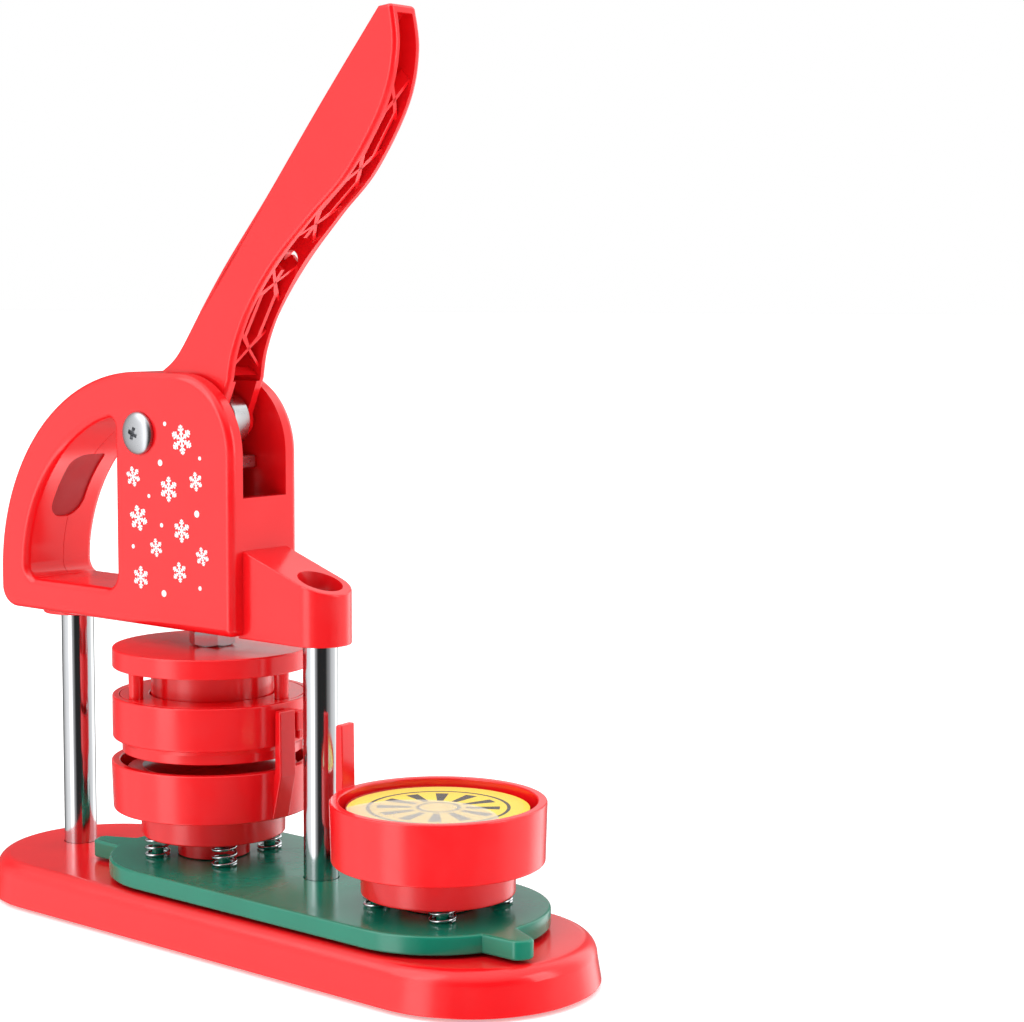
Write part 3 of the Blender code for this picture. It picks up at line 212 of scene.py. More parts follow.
def printed_paper(name):
    """A printed sunburst: broad rays and two rings in plain inks on paper, around the disc's own axis."""
    material, tree, shader, place = new_material(name, (0.93, 0.68, 0.05), 0.55)
    split = tree.nodes.new("ShaderNodeSeparateXYZ")
    link(place, split.inputs["Vector"])

    def calc(operation, *inputs):
        node = tree.nodes.new("ShaderNodeMath")
        node.operation = operation
        for socket, value in zip(node.inputs, inputs):
            if isinstance(value, (int, float)):
                socket.default_value = value
            else:
                link(value, socket)
        return node.outputs["Value"]

    x, y = split.outputs["X"], split.outputs["Y"]
    radius = calc("POWER", calc("ADD", calc("MULTIPLY", x, x), calc("MULTIPLY", y, y)), 0.5)
    angle = calc("ARCTAN2", y, x)
    rays = calc("GREATER_THAN", calc("SINE", calc("MULTIPLY", angle, 12.0)), 0.25)
    band = calc("MULTIPLY", calc("GREATER_THAN", radius, 0.0105), calc("LESS_THAN", radius, 0.0235))
    ring = calc("MULTIPLY", calc("GREATER_THAN", radius, 0.0262), calc("LESS_THAN", radius, 0.0276))
    core = calc("MULTIPLY", calc("GREATER_THAN", radius, 0.0072), calc("LESS_THAN", radius, 0.0086))
    ink = calc("MAXIMUM", calc("MAXIMUM", calc("MULTIPLY", rays, band), ring), core)
    fibre = noise(tree, place, 1500.0, 4.0)
    paper = two_tone(tree, fibre, (0.90, 0.63, 0.03), (0.96, 0.72, 0.06))
    mix = tree.nodes.new("ShaderNodeMix")
    mix.data_type = "RGBA"
    link(ink, mix.inputs["Factor"])
    link(paper, mix.inputs["A"])
    mix.inputs["B"].default_value = (0.035, 0.03, 0.028, 1.0)
    link(mix.outputs["Result"], shader.inputs["Base Color"])
    link(ranged(tree, fibre, 0.45, 0.65), shader.inputs["Roughness"])
    add_bump(tree, shader, ((fibre, 0.12, 0.02),))
    return material


# The film's painted reflection, a milky circle: its middle from the film's, and its radius, in metres
REFLECTION_X, REFLECTION_Y, REFLECTION_R = 0.0080, -0.0215, 0.0320


def clear_film(name):
    """Clear film, with a painted reflection: milky inside an offset circle, for the white surroundings
    mirrored in it.
    """
    material, tree, shader, place = new_material(name, (0.90, 0.87, 0.80), 0.3)
    ripple = noise(tree, place, 60.0, 2.0)
    link(ranged(tree, ripple, 0.25, 0.38), shader.inputs["Roughness"])
    away = tree.nodes.new("ShaderNodeVectorMath")
    away.operation = "DISTANCE"
    away.inputs[1].default_value = (REFLECTION_X, REFLECTION_Y, 0.0)
    link(place, away.inputs[0])
    # Milky inside the circle: a painted reflection of the white surroundings.
    painted_reflection = ranged(tree, away.outputs["Value"], 0.32, 0.04, REFLECTION_R - 0.0002, REFLECTION_R + 0.0002)
    link(painted_reflection, shader.inputs["Alpha"])
    add_bump(tree, shader, ((ripple, 0.1, 0.2),))
    return material


def print_ink(name):
    material, tree, shader, place = new_material(name, (0.92, 0.92, 0.94), 0.4)
    mottle = noise(tree, place, 1200.0, 3.0)
    link(two_tone(tree, mottle, (0.86, 0.86, 0.89), (0.96, 0.96, 0.97)), shader.inputs["Base Color"])
    link(ranged(tree, mottle, 0.34, 0.5), shader.inputs["Roughness"])
    add_bump(tree, shader, ((mottle, 0.08, 0.01),))
    return material


RED = (0.85, 0.008, 0.012)
MATERIALS = {
    "red_plastic": moulded_plastic("red_moulding", RED, 0.05, 0.18),
    "green_plastic": moulded_plastic("green_moulding", (0.004, 0.205, 0.125), 0.08, 0.18),
    "chrome": plated_metal("bright_plating", (0.62, 0.63, 0.65), 0.09, 0.15),
    "steel": machined_steel("ground_steel", (0.66, 0.67, 0.68), 0.20, 0.36),
    "bronze": machined_steel("bush_bronze", (0.58, 0.37, 0.16), 0.26, 0.42),
    "rubber": foot_rubber("foot_rubber"),
    "tinplate": plated_metal("bright_tin", (0.78, 0.79, 0.80), 0.10, 0.22),
    "yellow_paper": printed_paper("sunburst_print"),
    "clear_film": clear_film("clear_film"),
}
INK = print_ink("white_ink")
# A darker, duller red for the thumb recess's floor: painted shade for the hollow.
RECESS_SHADE_RED = moulded_plastic("recess_shade_red", (0.40, 0.003, 0.008), 0.06, 0.60)
SATIN = plated_metal("satin_plating", (0.50, 0.51, 0.53), 0.26, 0.36)


# ---------------------------------------------------------------- building tools
def at(x=0.0, y=0.0, z=0.0):
    """A point given in millimetres ahead of the press axis and above the table."""
    return Vector((PRESS_X + x * MM, y * MM, TABLE_Z + z * MM))


def add_object(name, mesh, location=(0, 0, 0), rotation=(0, 0, 0)):
    obj = bpy.data.objects.new(name, mesh)
    obj.location = location
    obj.rotation_euler = rotation
    bpy.context.scene.collection.objects.link(obj)
    return obj


def from_form(name, form, location=(0, 0, 0), rotation=(0, 0, 0)):
    mesh = bpy.data.meshes.new(name)
    form.to_mesh(mesh)
    form.free()
    return add_object(name, mesh, location, rotation)


def rounded(corners, steps=5):
    """Corners of (x, y, radius) in millimetres, as points in metres with each corner rounded."""
    result = []
    for i, (x, y, radius) in enumerate(corners):
        corner = Vector((x, y))
        if not radius:
            result.append(corner * MM)
            continue
        to_last = Vector(corners[i - 1][:2]) - corner
        to_next = Vector(corners[(i + 1) % len(corners)][:2]) - corner
        half = to_last.angle(to_next) / 2
        reach = min(radius / math.tan(half), to_last.length * 0.49, to_next.length * 0.49)
        radius = reach * math.tan(half)
        hub = corner + (to_last.normalized() + to_next.normalized()).normalized() * radius / sin(half)
        first = corner + to_last.normalized() * reach - hub
        last = corner + to_next.normalized() * reach - hub
        sweep = first.angle_signed(last)
        for k in range(steps + 1):
            spoke = first.copy()
            spoke.rotate(Matrix.Rotation(-sweep * k / steps, 2))
            result.append((hub + spoke) * MM)
    return result


def turned(name, corners, location, rotation=(0, 0, 0), steps=112):
    """Turn a rounded outline of (radius, height, corner radius) about Z."""
    points = rounded([(r, z, soft) for r, z, soft in corners], 4)
    mesh = bpy.data.meshes.new(name)
    edges = [(i, i + 1) for i in range(len(points) - 1)]
    if corners[0][0] > 0:
        edges.append((len(points) - 1, 0))
    mesh.from_pydata([(p.x, 0.0, p.y) for p in points], edges, [])
    obj = add_object(name, mesh, location, rotation)
    screw = obj.modifiers.new("turn", "SCREW")
    screw.steps = screw.render_steps = steps
    screw.use_merge_vertices = True
    screw.merge_threshold = 0.002 * MM
    return obj


def arc(x, y, radius, start_deg, end_deg, steps):
    """Points (x, y, 0) round an arc, ready to join a list of corners."""
    angles = (radians(start_deg + (end_deg - start_deg) * i / steps) for i in range(steps + 1))
    return [(x + radius * cos(a), y + radius * sin(a), 0) for a in angles]


def curve_mesh(name, curve):
    guide = add_object(name + "_guide", curve)
    mesh = bpy.data.meshes.new_from_object(guide.evaluated_get(bpy.context.evaluated_depsgraph_get()))
    bpy.data.objects.remove(guide)
    return mesh


def slab(name, outlines, low, high, location=(0, 0, 0), upright=False):
    """Flat outlines in metres, the later ones holes, made thick. Upright ones are drawn in XZ."""
    curve = bpy.data.curves.new(name, "CURVE")
    curve.dimensions = "2D"
    curve.fill_mode = "BOTH"
    curve.extrude = (high - low) / 2 * MM
    for outline in outlines:
        spline = curve.splines.new("POLY")
        spline.points.add(len(outline) - 1)
        for point, spot in zip(spline.points, outline):
            point.co = (spot[0], spot[1], 0, 1)
        spline.use_cyclic_u = True
    mesh = curve_mesh(name, curve)
    form = bmesh.new()
    form.from_mesh(mesh)
    bmesh.ops.remove_doubles(form, verts=form.verts, dist=0.002 * MM)
    bmesh.ops.dissolve_limit(form, angle_limit=radians(0.3), verts=form.verts, edges=form.edges)
    bmesh.ops.translate(form, verts=form.verts, vec=(0, 0, (low + high) / 2 * MM))
    if upright:
        bmesh.ops.rotate(form, verts=form.verts, matrix=Matrix.Rotation(radians(90), 3, "X"))
        bmesh.ops.translate(form, verts=form.verts, vec=(0, (low + high) * MM, 0))
    bmesh.ops.recalc_face_normals(form, faces=form.faces)
    return from_form(name, form, location)


def cylinder(name, radius, low, high, location, rotation=(0, 0, 0), steps=64):
    form = bmesh.new()
    bmesh.ops.create_cone(form, cap_ends=True, segments=steps, radius1=radius * MM, radius2=radius * MM,
                          depth=(high - low) * MM)
    bmesh.ops.translate(form, verts=form.verts, vec=(0, 0, (low + high) / 2 * MM))
    return from_form(name, form, location, rotation)


def block(name, size, location):
    form = bmesh.new()
    bmesh.ops.create_cube(form, size=1.0)
    bmesh.ops.scale(form, verts=form.verts, vec=Vector(size) * MM)
    return from_form(name, form, location)


def bevel(obj, width, segments=4, angle=40.0, clamp=True):
    modifier = obj.modifiers.new("edges", "BEVEL")
    modifier.width = width * MM
    modifier.segments = segments
    modifier.limit_method = "ANGLE"
    modifier.angle_limit = radians(angle)
    modifier.use_clamp_overlap = clamp
    return obj


def boolean(obj, other, operation):
    modifier = obj.modifiers.new(operation.lower(), "BOOLEAN")
    modifier.operation = operation
    modifier.object = other
    modifier.solver = "EXACT"


def bake(obj):
    """Turn the modifiers into plain mesh."""
    graph = bpy.context.evaluated_depsgraph_get()
    mesh = bpy.data.meshes.new_from_object(obj.evaluated_get(graph))
    obj.modifiers.clear()
    obj.data = mesh
    return obj


def shape(obj, operation, others):
    for other in others:
        boolean(obj, other, operation)
    bake(obj)
    for other in others:
        bpy.data.objects.remove(other)
    return obj


def cut(obj, *others):
    return shape(obj, "DIFFERENCE", others)


def join(obj, *others):
    return shape(obj, "UNION", others)


def mount(obj, nodes, slot, body=None, material=None, sharp=31.0):
    """Shade a finished piece and let it ride on its body in place of its CAD nodes."""
    bake(obj)
    obj.data.materials.clear()
    obj.data.materials.append(material or MATERIALS[slot])
    obj.data.shade_smooth()
    obj.data.set_sharp_from_angle(angle=radians(sharp))
    even = obj.modifiers.new("even_normals", "WEIGHTED_NORMAL")
    even.keep_sharp = True
    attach(obj, body or BODY_OF[nodes[0]])
    if nodes:
        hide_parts(*nodes)
    return obj


def coil(name, radius, wire, low, high, turns, location, per_turn=28):
    """A compression spring: round wire, with its end turns closed."""
    curve = bpy.data.curves.new(name, "CURVE")
    curve.dimensions = "3D"
    curve.bevel_depth = wire * MM
    curve.bevel_resolution = 4
    curve.use_fill_caps = True
    spline = curve.splines.new("POLY")
    count = int(turns * per_turn)
    spline.points.add(count)
    closed = 0.75 / turns
    for i, point in enumerate(spline.points):
        share = i / count
        rise = min(max((share - closed) / (1 - 2 * closed), 0.0), 1.0)
        height = low + wire + (high - low - 2 * wire) * (0.04 * share + 0.96 * rise)
        angle = 2 * math.pi * turns * share
        point.co = (radius * cos(angle) * MM, radius * sin(angle) * MM, height * MM, 1)
    mesh = curve_mesh(name, curve)
    return add_object(name, mesh, location)


# ---------------------------------------------------------------- base, feet and columns
BASE_END = 104.0
BASE_LOW = -25.6


def stadium(radius):
    return arc(BASE_END, 0, radius, -90, 90, 44) + arc(-BASE_END, 0, radius, 90, 270, 44)


def stadium_loft(name, levels):
    """Stadium rings, one for each (radius, height), skinned and capped."""
    form = bmesh.new()
    rings = [[form.verts.new((x * MM, y * MM, z * MM)) for x, y, _ in stadium(radius)]
             for radius, z in levels]
    form.faces.new(list(reversed(rings[0])))
    form.faces.new(rings[-1])
    for below, above in zip(rings, rings[1:]):
        for i in range(len(below)):
            form.faces.new((below[i - 1], below[i], above[i], above[i - 1]))
    return from_form(name, form, (0, 0, TABLE_Z))


def at_columns(name, radius, low, high, steps=64):
    """A cylinder on the axis of each column."""
    return [cylinder(f"{name}_{i}", radius, low, high, (x, 0, TABLE_Z), steps=steps)
            for i, x in enumerate((FRONT_ROD_X, REAR_ROD_X))]


def make_base():
    side = [(48.7, BASE_LOW), (49.1, BASE_LOW + 0.12), (49.3, BASE_LOW + 0.5), (48.5, -20.5)]
    shoulder = [(41.4 + 6.3 * cos(a), -15.6 + 6.8 * sin(a)) for a in quarter(12)]
    base = stadium_loft("moulded_base", side + shoulder)
    hollow = stadium_loft("base_hollow", [(46.0, BASE_LOW - 1), (44.6, -13.8)])
    ribs = [block(f"base_rib_{i}", (2.0, 120, 5.0), (x * MM, 0, TABLE_Z - 15.3 * MM))
            for i, x in enumerate(range(-125, 126, 25))]
    spine = block("base_spine", (300, 2.0, 5.0), (0, 0, TABLE_Z - 15.3 * MM))
    bosses = at_columns("column_boss", 13.0, -21.6, -10)
    feet = [middle(f"rubber_foot_{i}") for i in range(1, 5)]
    bosses += [cylinder(f"foot_boss_{i}", 9.5, -32, -10, (p.x, p.y, TABLE_Z)) for i, p in enumerate(feet)]
    cut(hollow, spine, *ribs, *bosses)
    sockets = at_columns("socket", 7.0 + GAP, -17.9, 0, 96)
    ways = at_columns("bolt_way", 4.2, -30, -17)
    seats = [cylinder(f"foot_seat_{i}", 7.3, -30, 2.9 - TABLE_Z / MM, (p.x, p.y, TABLE_Z)) for i, p in
             enumerate(feet)]
    cut(base, hollow, *sockets, *ways, *seats)
    mount(base, ["base_shell"], "red_plastic")
    for i, place in enumerate(feet, 1):
        foot = turned(f"soft_foot_{i}", [(0, 2.6, 0), (7.0, 2.6, 0.2), (7.0, 0.0, 0.9), (4.6, 0.0, 0.3),
                                         (4.2, 0.5, 0.3), (0, 0.5, 0)], (place.x, place.y, 0), steps=56)
        mount(foot, [f"rubber_foot_{i}"], "rubber")


def make_columns():
    for label, x in (("front", FRONT_ROD_X), ("rear", REAR_ROD_X)):
        low, high = span(label + "_column")
        rod = turned(label + "_rod", [(0, high, 0), (7.0, high, 0.7), (7.0, low, 0.7), (0, low, 0)],
                     (x, 0, 0), steps=128)
        mount(rod, [label + "_column"], "chrome")
        low, high = span(label + "_column_bolt")
        bolt = turned(label + "_foot_bolt", [
            (0, low + 4, 0), (6.5, low + 3.4, 0.3), (6.5, low, 0.5), (0, low, 0)], (x, 0, 0), steps=48)
        cut(bolt, cylinder(label + "_key", 3.0, low - 1, low + 2.6, (x, 0, 0), steps=6))
        mount(bolt, [label + "_column_bolt"], "steel")
    low, high = span("thrust_washer")
    washer = turned("table_washer", [(7.4, high, 0.1), (14.0, high, 0.2), (14.0, low, 0.2), (7.4, low, 0.1)],
                    (FRONT_ROD_X, 0, 0))
    mount(washer, ["thrust_washer"], "steel")


# ---------------------------------------------------------------- table and lower dies
TABLE_R = 43.2
TABLE_THICK = 7.5


def spring_places(die):
    angles = (radians(die["spring_deg"] + 90 * i) for i in range(4))
    return [(die["x"] + 23.5 * MM * cos(a), 23.5 * MM * sin(a)) for a in angles]


def table_outline():
    """Half of the outline is one rounded end with its finger tab; the other half is its mirror image."""
    arm = FRONT_ROD
    tab = [(arm + 38.4, -19.6, 5.0), (arm + 54.2, -19.3, 3.6),
           (arm + 58.0, -11.9, 3.2), (arm + 43.2, -4.9, 5.0)]
    front = arc(arm, 0, TABLE_R, -90, -27.5, 22) + tab + arc(arm, 0, TABLE_R, -5.4, 90, 30)
    rear = [(-x, y, radius) for x, y, radius in reversed(front)]
    return rounded(front + rear)


def make_table():
    axis = (FRONT_ROD_X, 0, TABLE_Z)
    table = bake(bevel(slab("moulded_table", [table_outline()], -TABLE_THICK, 0, axis), 1.1, 5, 50, False))
    pegs = []
    cutters = [cylinder("table_bore", 7.3, -20, 20, axis, steps=96),
               cylinder("bush_seat", 10.0, -20, -2, axis)]
    for name, die in DIES.items():
        for i, (x, y) in enumerate(spring_places(die)):
            pegs.append(turned(f"{name}_peg_{i}", [(0, 4.5, 0), (2.3, 4.5, 0.7), (2.5, -1, 0), (0, -1, 0)],
                               (x, y, TABLE_Z), steps=32))
        cutters += [cylinder(name + "_way", 3.3, -20, 5, (die["x"], 0, TABLE_Z)),
                    cylinder(name + "_seat", 6.0, -20, -3.5, (die["x"], 0, TABLE_Z))]
    join(table, *pegs)
    cut(table, *cutters)
    mount(table, ["turning_table"], "green_plastic")
    bush = turned("bronze_bush", [
        (7.1, -2.3, 0.2), (9.7, -2.3, 0.3), (9.7, -7.5, 0.3), (7.1, -7.5, 0.3)], axis)
    mount(bush, ["table_bush"], "bronze")


CUP_RIM = 40.9
CORE_TOP = 37.2


def make_lower_die(name, die):
    axis = (die["x"], 0, TABLE_Z)
    step, foot = die["step"], die["floor"]
    floor = foot + 4.3
    core = turned(name + "_pusher", [
        (0, CORE_TOP - 0.6, 0), (26.0, CORE_TOP - 0.6, 0.2), (26.4, CORE_TOP, 0.2), (35.2, CORE_TOP, 0.5),
        (35.2, floor + GAP, 0.4), (15.0, floor + GAP, 0.5), (15.0, GAP, 0.4), (3.3, GAP, 0.1), (3.3, 15, 0),
        (0, 15, 0)], axis)
    mount(core, [name + "_core"], "red_plastic")
    screw = turned(name + "_pusher_screw", [
        (0, 13, 0), (3.0, 13, 0.4), (3.0, -3.8, 0), (5.6, -3.8, 0.2), (5.6, -7.2, 0.5), (0, -7.2, 0)],
        axis, steps=48)
    cut(screw, cylinder(name + "_key", 2.3, -9, -5.0, axis, steps=6))
    mount(screw, [name + "_core_screw"], "steel")

    cup = turned(name + "_shell", [
        (38.0, CUP_RIM, 0.7), (41.7, CUP_RIM, 0.7), (41.05, foot, 0.9), (29.85, foot, 0.7), (29.7, step, 0.8),
        (15.3, step, 0.4), (15.3, floor, 0.3), (37.9, floor, 1.2)], axis, steps=144)
    taper = CUP_RIM - 1.0
    side = [(40.05, foot, 0), (41.25, foot + 0.3, 0), (45.6, taper - 1, 3.0), (45.4, 65.5, 1.0),
            (42.3, 65.5, 0.6), (42.0, taper + 1, 1.0), (40.7, taper - 3, 0)]
    post = slab(name + "_fin", [rounded(side)], -4.2, 4.2, axis, upright=True)
    post.rotation_euler = (0, 0, radians(die["post_deg"]))
    join(cup, bake(bevel(post, 0.7, 3)))
    ceiling = step + 8.0
    pockets = [cylinder(f"{name}_pocket_{i}", 5.35, step - 1, ceiling, (x, y, TABLE_Z), steps=40)
               for i, (x, y) in enumerate(spring_places(die))]
    cut(cup, *pockets)
    mount(cup, [name + "_cup"], "red_plastic")
    for i, (x, y) in enumerate(spring_places(die), 1):
        spring = coil(f"{name}_coil_{i}", 4.7, 0.6, GAP, ceiling - GAP, die["turns"] + 1, (x, y, TABLE_Z))
        mount(spring, [f"{name}_spring_{i}"], "steel", material=MATERIALS["chrome"], sharp=60)
        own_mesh(spring)


def make_blanks():
    low = CORE_TOP + GAP
    dome = [(29.0 * sin(a), low + 0.5 + 2.2 * cos(a) ** 2, 0) for a in quarter(18)]
    shell = turned("tin_shell", dome + [(29.0, low, 0.1), (0, low, 0)], at())
    mount(shell, ["badge_shell"], "tinplate")
    place = Vector((DIES["die_b"]["x"], 0, TABLE_Z + low * MM))
    art = turned("printed_disc", [(0, 0.35, 0), (35.0, 0.35, 0.1), (35.0, 0, 0), (0, 0, 0)], place)
    mount(art, ["artwork_disc"], "yellow_paper")
    spot = middle("clear_film_disc")
    film_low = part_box("clear_film_disc")[0].z
    film = turned("film_disc", [(0, 0.35, 0), (34.0, 0.35, 0.1), (34.0, 0, 0), (0, 0, 0)],
                  (spot.x, spot.y, film_low))
    mount(film, ["clear_film_disc"], "clear_film")


# ---------------------------------------------------------------- upper die and ram
RING_TOP = 68.0
RING_LOW = 50.3
SLEEVE_R = 37.9


def make_upper_die():
    disc = turned("pressing_disc", [
        (6.3, 87.6, 0.3), (41.0, 87.6, 0.7), (41.0, 79.6, 0.5), (6.3, 79.6, 0.2)], at(), steps=144)
    mount(disc, ["upper_disc"], "red_plastic")
    core = turned("pressing_core", [
        (6.3, 79.3, 0.2), (25.3, 79.3, 0.2), (25.3, 64.2, 0.8), (34.5, 64.2, 0.4), (34.5, 61.2, 0.4),
        (7.0, 61.2, 0.3), (7.0, 65.5, 0), (3.3, 65.5, 0), (3.3, 69.7, 0), (6.3, 69.7, 0)], at(), steps=128)
    mount(core, ["upper_core"], "red_plastic")
    screw = turned("pressing_screw", [
        (0, 82, 0), (2.9, 82, 0.4), (2.9, 65.2, 0), (6.4, 65.2, 0.3), (6.4, 61.5, 0.6), (0, 61.5, 0)],
        at(), steps=48)
    cut(screw, cylinder("pressing_key", 2.5, 60, 63.9, at(), steps=6))
    mount(screw, ["upper_core_screw"], "steel")
    ways = []
    for i in range(1, 4):
        place = middle(f"guide_leg_{i}")
        leg = turned(f"moulded_leg_{i}", [(0, 79.3, 0), (3.1, 79.3, 0.2), (2.8, 64.6, 0.5), (0, 64.6, 0)],
                     (place.x, place.y, TABLE_Z), steps=48)
        mount(leg, [f"guide_leg_{i}"], "red_plastic")
        ways.append(cylinder(f"leg_way_{i}", 3.1, 51.5, 70, (place.x, place.y, TABLE_Z), steps=48))
    rib_low, rib_high, rib = RING_LOW + 6.7, RING_LOW + 9.7, SLEEVE_R + 1
    sleeve = turned("floating_sleeve", [
        (26.0, RING_TOP, 0.4), (SLEEVE_R, RING_TOP, 0.2), (SLEEVE_R, rib_high + 0.5, 0), (rib, rib_high, 0),
        (rib, rib_low, 0), (SLEEVE_R, rib_low - 0.5, 0), (SLEEVE_R, RING_LOW, 0.5),
        (37.2, RING_LOW - 2.0, 0.5), (37.2, 44.5, 0.5), (35.8, 44.5, 0.3), (35.8, 64.5, 0.5),
        (26.0, 64.5, 0.3)], at(), steps=144)
    cut(sleeve, *ways)
    mount(sleeve, ["float_sleeve"], "red_plastic")
    bore, groove = SLEEVE_R + 0.4, rib + 0.4
    ring = turned("turning_ring", [
        (bore, RING_TOP, 0.2), (41.1, RING_TOP, 0.7), (41.1, RING_LOW, 1.0), (bore, RING_LOW, 0.4),
        (bore, rib_low - 0.9, 0), (groove, rib_low - GAP, 0), (groove, rib_high + GAP, 0),
        (bore, rib_high + 0.9, 0)], at(), steps=144)
    for label, reach, low, high, inset in (("upper", 46.0, 6.2, 14.0, 0.0), ("lower", 45.4, 2.7, 7.0, 2.0)):
        start, end = 4.5 + inset, 12.0 - inset
        outline = arc(0, 0, reach, start, end, 6) + arc(0, 0, 40.1, end, start, 4)
        lug = slab("lug_" + label, [[(x * MM, y * MM) for x, y, _ in outline]],
                   RING_LOW + low, RING_LOW + high, at())
        join(ring, bake(bevel(lug, 0.5, 3)))
    mount(ring, ["selector_ring"], "red_plastic")


def make_ram():
    shaft = turned("ram_rod", [
        (0, 160.7, 0), (6.0, 160.7, 0.4), (6.0, 70.0, 0.4), (3.2, 70.0, 0), (3.2, 84.0, 0), (0, 84.0, 0)],
        at(), steps=96)
    mount(shaft, ["ram_shaft"], "steel")
    low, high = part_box("ram_pad")
    pad = block("ram_plate", (high - low) / MM, (low + high) / 2)
    mount(bake(bevel(pad, 0.9, 4)), ["ram_pad"], "steel")
    low, high = span("ram_nut")
    nut = cylinder("lock_nut", 17 / math.sqrt(3), low, high, (PRESS_X, 0, 0), steps=6)
    dome = turned("nut_dome", [(0, high, 0), (8.6, high, 0.2), (10.2, high - 1.0, 0), (10.2, low + 1.0, 0),
                               (8.6, low, 0.2), (0, low, 0)], (PRESS_X, 0, 0), steps=96)
    shape(nut, "INTERSECT", [dome])
    cut(nut, cylinder("nut_bore", 6.3, low - 2, high + 2, (PRESS_X, 0, 0)))
    mount(nut, ["ram_nut"], "steel", material=MATERIALS["chrome"])
    bush = turned("guide_bush", [(6.1, 118, 0.4), (9.0, 118, 0.3), (9.0, 95.6, 0.3), (6.1, 95.6, 0.4)], at())
    mount(bush, ["ram_bush"], "bronze")
    low, high = span("ram_return_spring")
    spring = coil("return_coil", 8.2, 0.8, low, high, 7.5, (PRESS_X, 0, 0))
    mount(spring, ["ram_return_spring"], "steel", sharp=60)
    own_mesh(spring)


# ---------------------------------------------------------------- head
HEAD_HALF = 19.0
HEAD_LOW, HEAD_TOP = 95.3, 200.0
HEAD_FRONT = 31.4
BACK = (-25.0, 110.3)
BACK_R = 89.7
GRIP_R = 72.5
GRIP_FLOOR, GRIP_FRONT = 109.0, -38.2
EDGE_R = 3.4
# Where the middle of the thumb recess is, round the grip's arc from +X
POCKET_DEG = 147.0


def grip_outline():
    rise = math.sqrt(GRIP_R ** 2 - (GRIP_FRONT - BACK[0]) ** 2)
    run = math.sqrt(GRIP_R ** 2 - (GRIP_FLOOR - BACK[1]) ** 2)
    top_deg = math.degrees(math.atan2(rise, GRIP_FRONT - BACK[0]))
    back = arc(*BACK, GRIP_R, top_deg + 9, 171, 30)
    return rounded([(GRIP_FRONT, BACK[1] + rise, 8.0)] + back + [(BACK[0] - run, GRIP_FLOOR, 8.0),
                                                              (GRIP_FRONT, GRIP_FLOOR, 7.0)], 8)


def head_outline():
    crown = arc(HEAD_FRONT - 32, HEAD_TOP - 32, 32, 0, 90, 24)
    back = arc(BACK[0], BACK[1], BACK_R, 90, 180, 60)
    heel = arc(BACK[0] - BACK_R + 9, HEAD_LOW + 9, 9, 180, 270, 12)
    return rounded([(HEAD_FRONT, HEAD_LOW, 0)] + crown + back + heel)


def slot_outline():
    pivot_x, pivot_z = (PIVOT.x - PRESS_X) / MM, (PIVOT.z - TABLE_Z) / MM
    wall = HEAD_FRONT - 4.2
    hub = arc(pivot_x, pivot_z, 13.6, 130, 250, 24)
    return rounded([(-20.8, 205, 0), (-20.8, 197, 0)] + hub + [
        (-15.0, pivot_z - 20.5, 0), (-15.0, 118, 0), (wall, 118, 0), (wall, 151, 0), (36.4, 151, 0),
        (36.4, 205, 0)])


def make_boss():
    end = FRONT_ROD + 12.5
    plan = [(HEAD_FRONT - 3, -12.5, 0)] + arc(FRONT_ROD, 0, 12.5, -90, 90, 40) + [(HEAD_FRONT - 3, 12.5, 0)]
    boss = slab("front_boss", [rounded(plan)], 94.4, 136, at())
    slope = -0.345
    side = [(HEAD_FRONT - 4, 94, 0), (end + 1, 94, 0), (end + 1, 130 + slope * (end + 1 - HEAD_FRONT), 0),
            (HEAD_FRONT - 4, 130 - slope * 4, 0)]
    wedge = slab("boss_side", [rounded(side)], -30, 30, at(), upright=True)
    shape(boss, "INTERSECT", [wedge])
    return bake(bevel(boss, 0.6, 3, 50))


def thumb_slab(name, low, high):
    """The thumb recess's outline, between two depths into the rear grip from the face inside it."""
    outline = [(-8.6, -16.5, 7.0), (-8.6, 17.0, 7.0), (8.8, 17.0, 13.0), (8.8, -16.5, 2.0)]
    recess = slab(name, [rounded(outline, 12)], -14, 8)
    slope = radians(POCKET_DEG)
    out = Vector((cos(slope), 0, sin(slope)))
    across = Vector((0, 1, 0))
    recess.rotation_euler = Matrix((across, out.cross(across), out)).transposed().to_euler()
    recess.location = at(BACK[0] + GRIP_R * out.x, 0, BACK[1] + GRIP_R * out.z)
    curve = arc(*BACK, GRIP_R + low, 100, 190, 40) + arc(*BACK, GRIP_R + high, 190, 100, 40)
    layer = slab(name + "_layer", [rounded(curve, 1)], -20, 20, at(), upright=True)
    return shape(recess, "INTERSECT", [layer])


def parting_cutter():
    """A hair-line groove round the grip opening, where the two mould halves met."""
    outer = [Vector(p) for p in grip_outline()]
    hub = sum(outer, Vector((0, 0))) / len(outer)
    grown = [p + (p - hub).normalized() * 0.35 * MM for p in outer]
    return slab("parting_line", [grown], 1.9, 2.15, at(), upright=True)


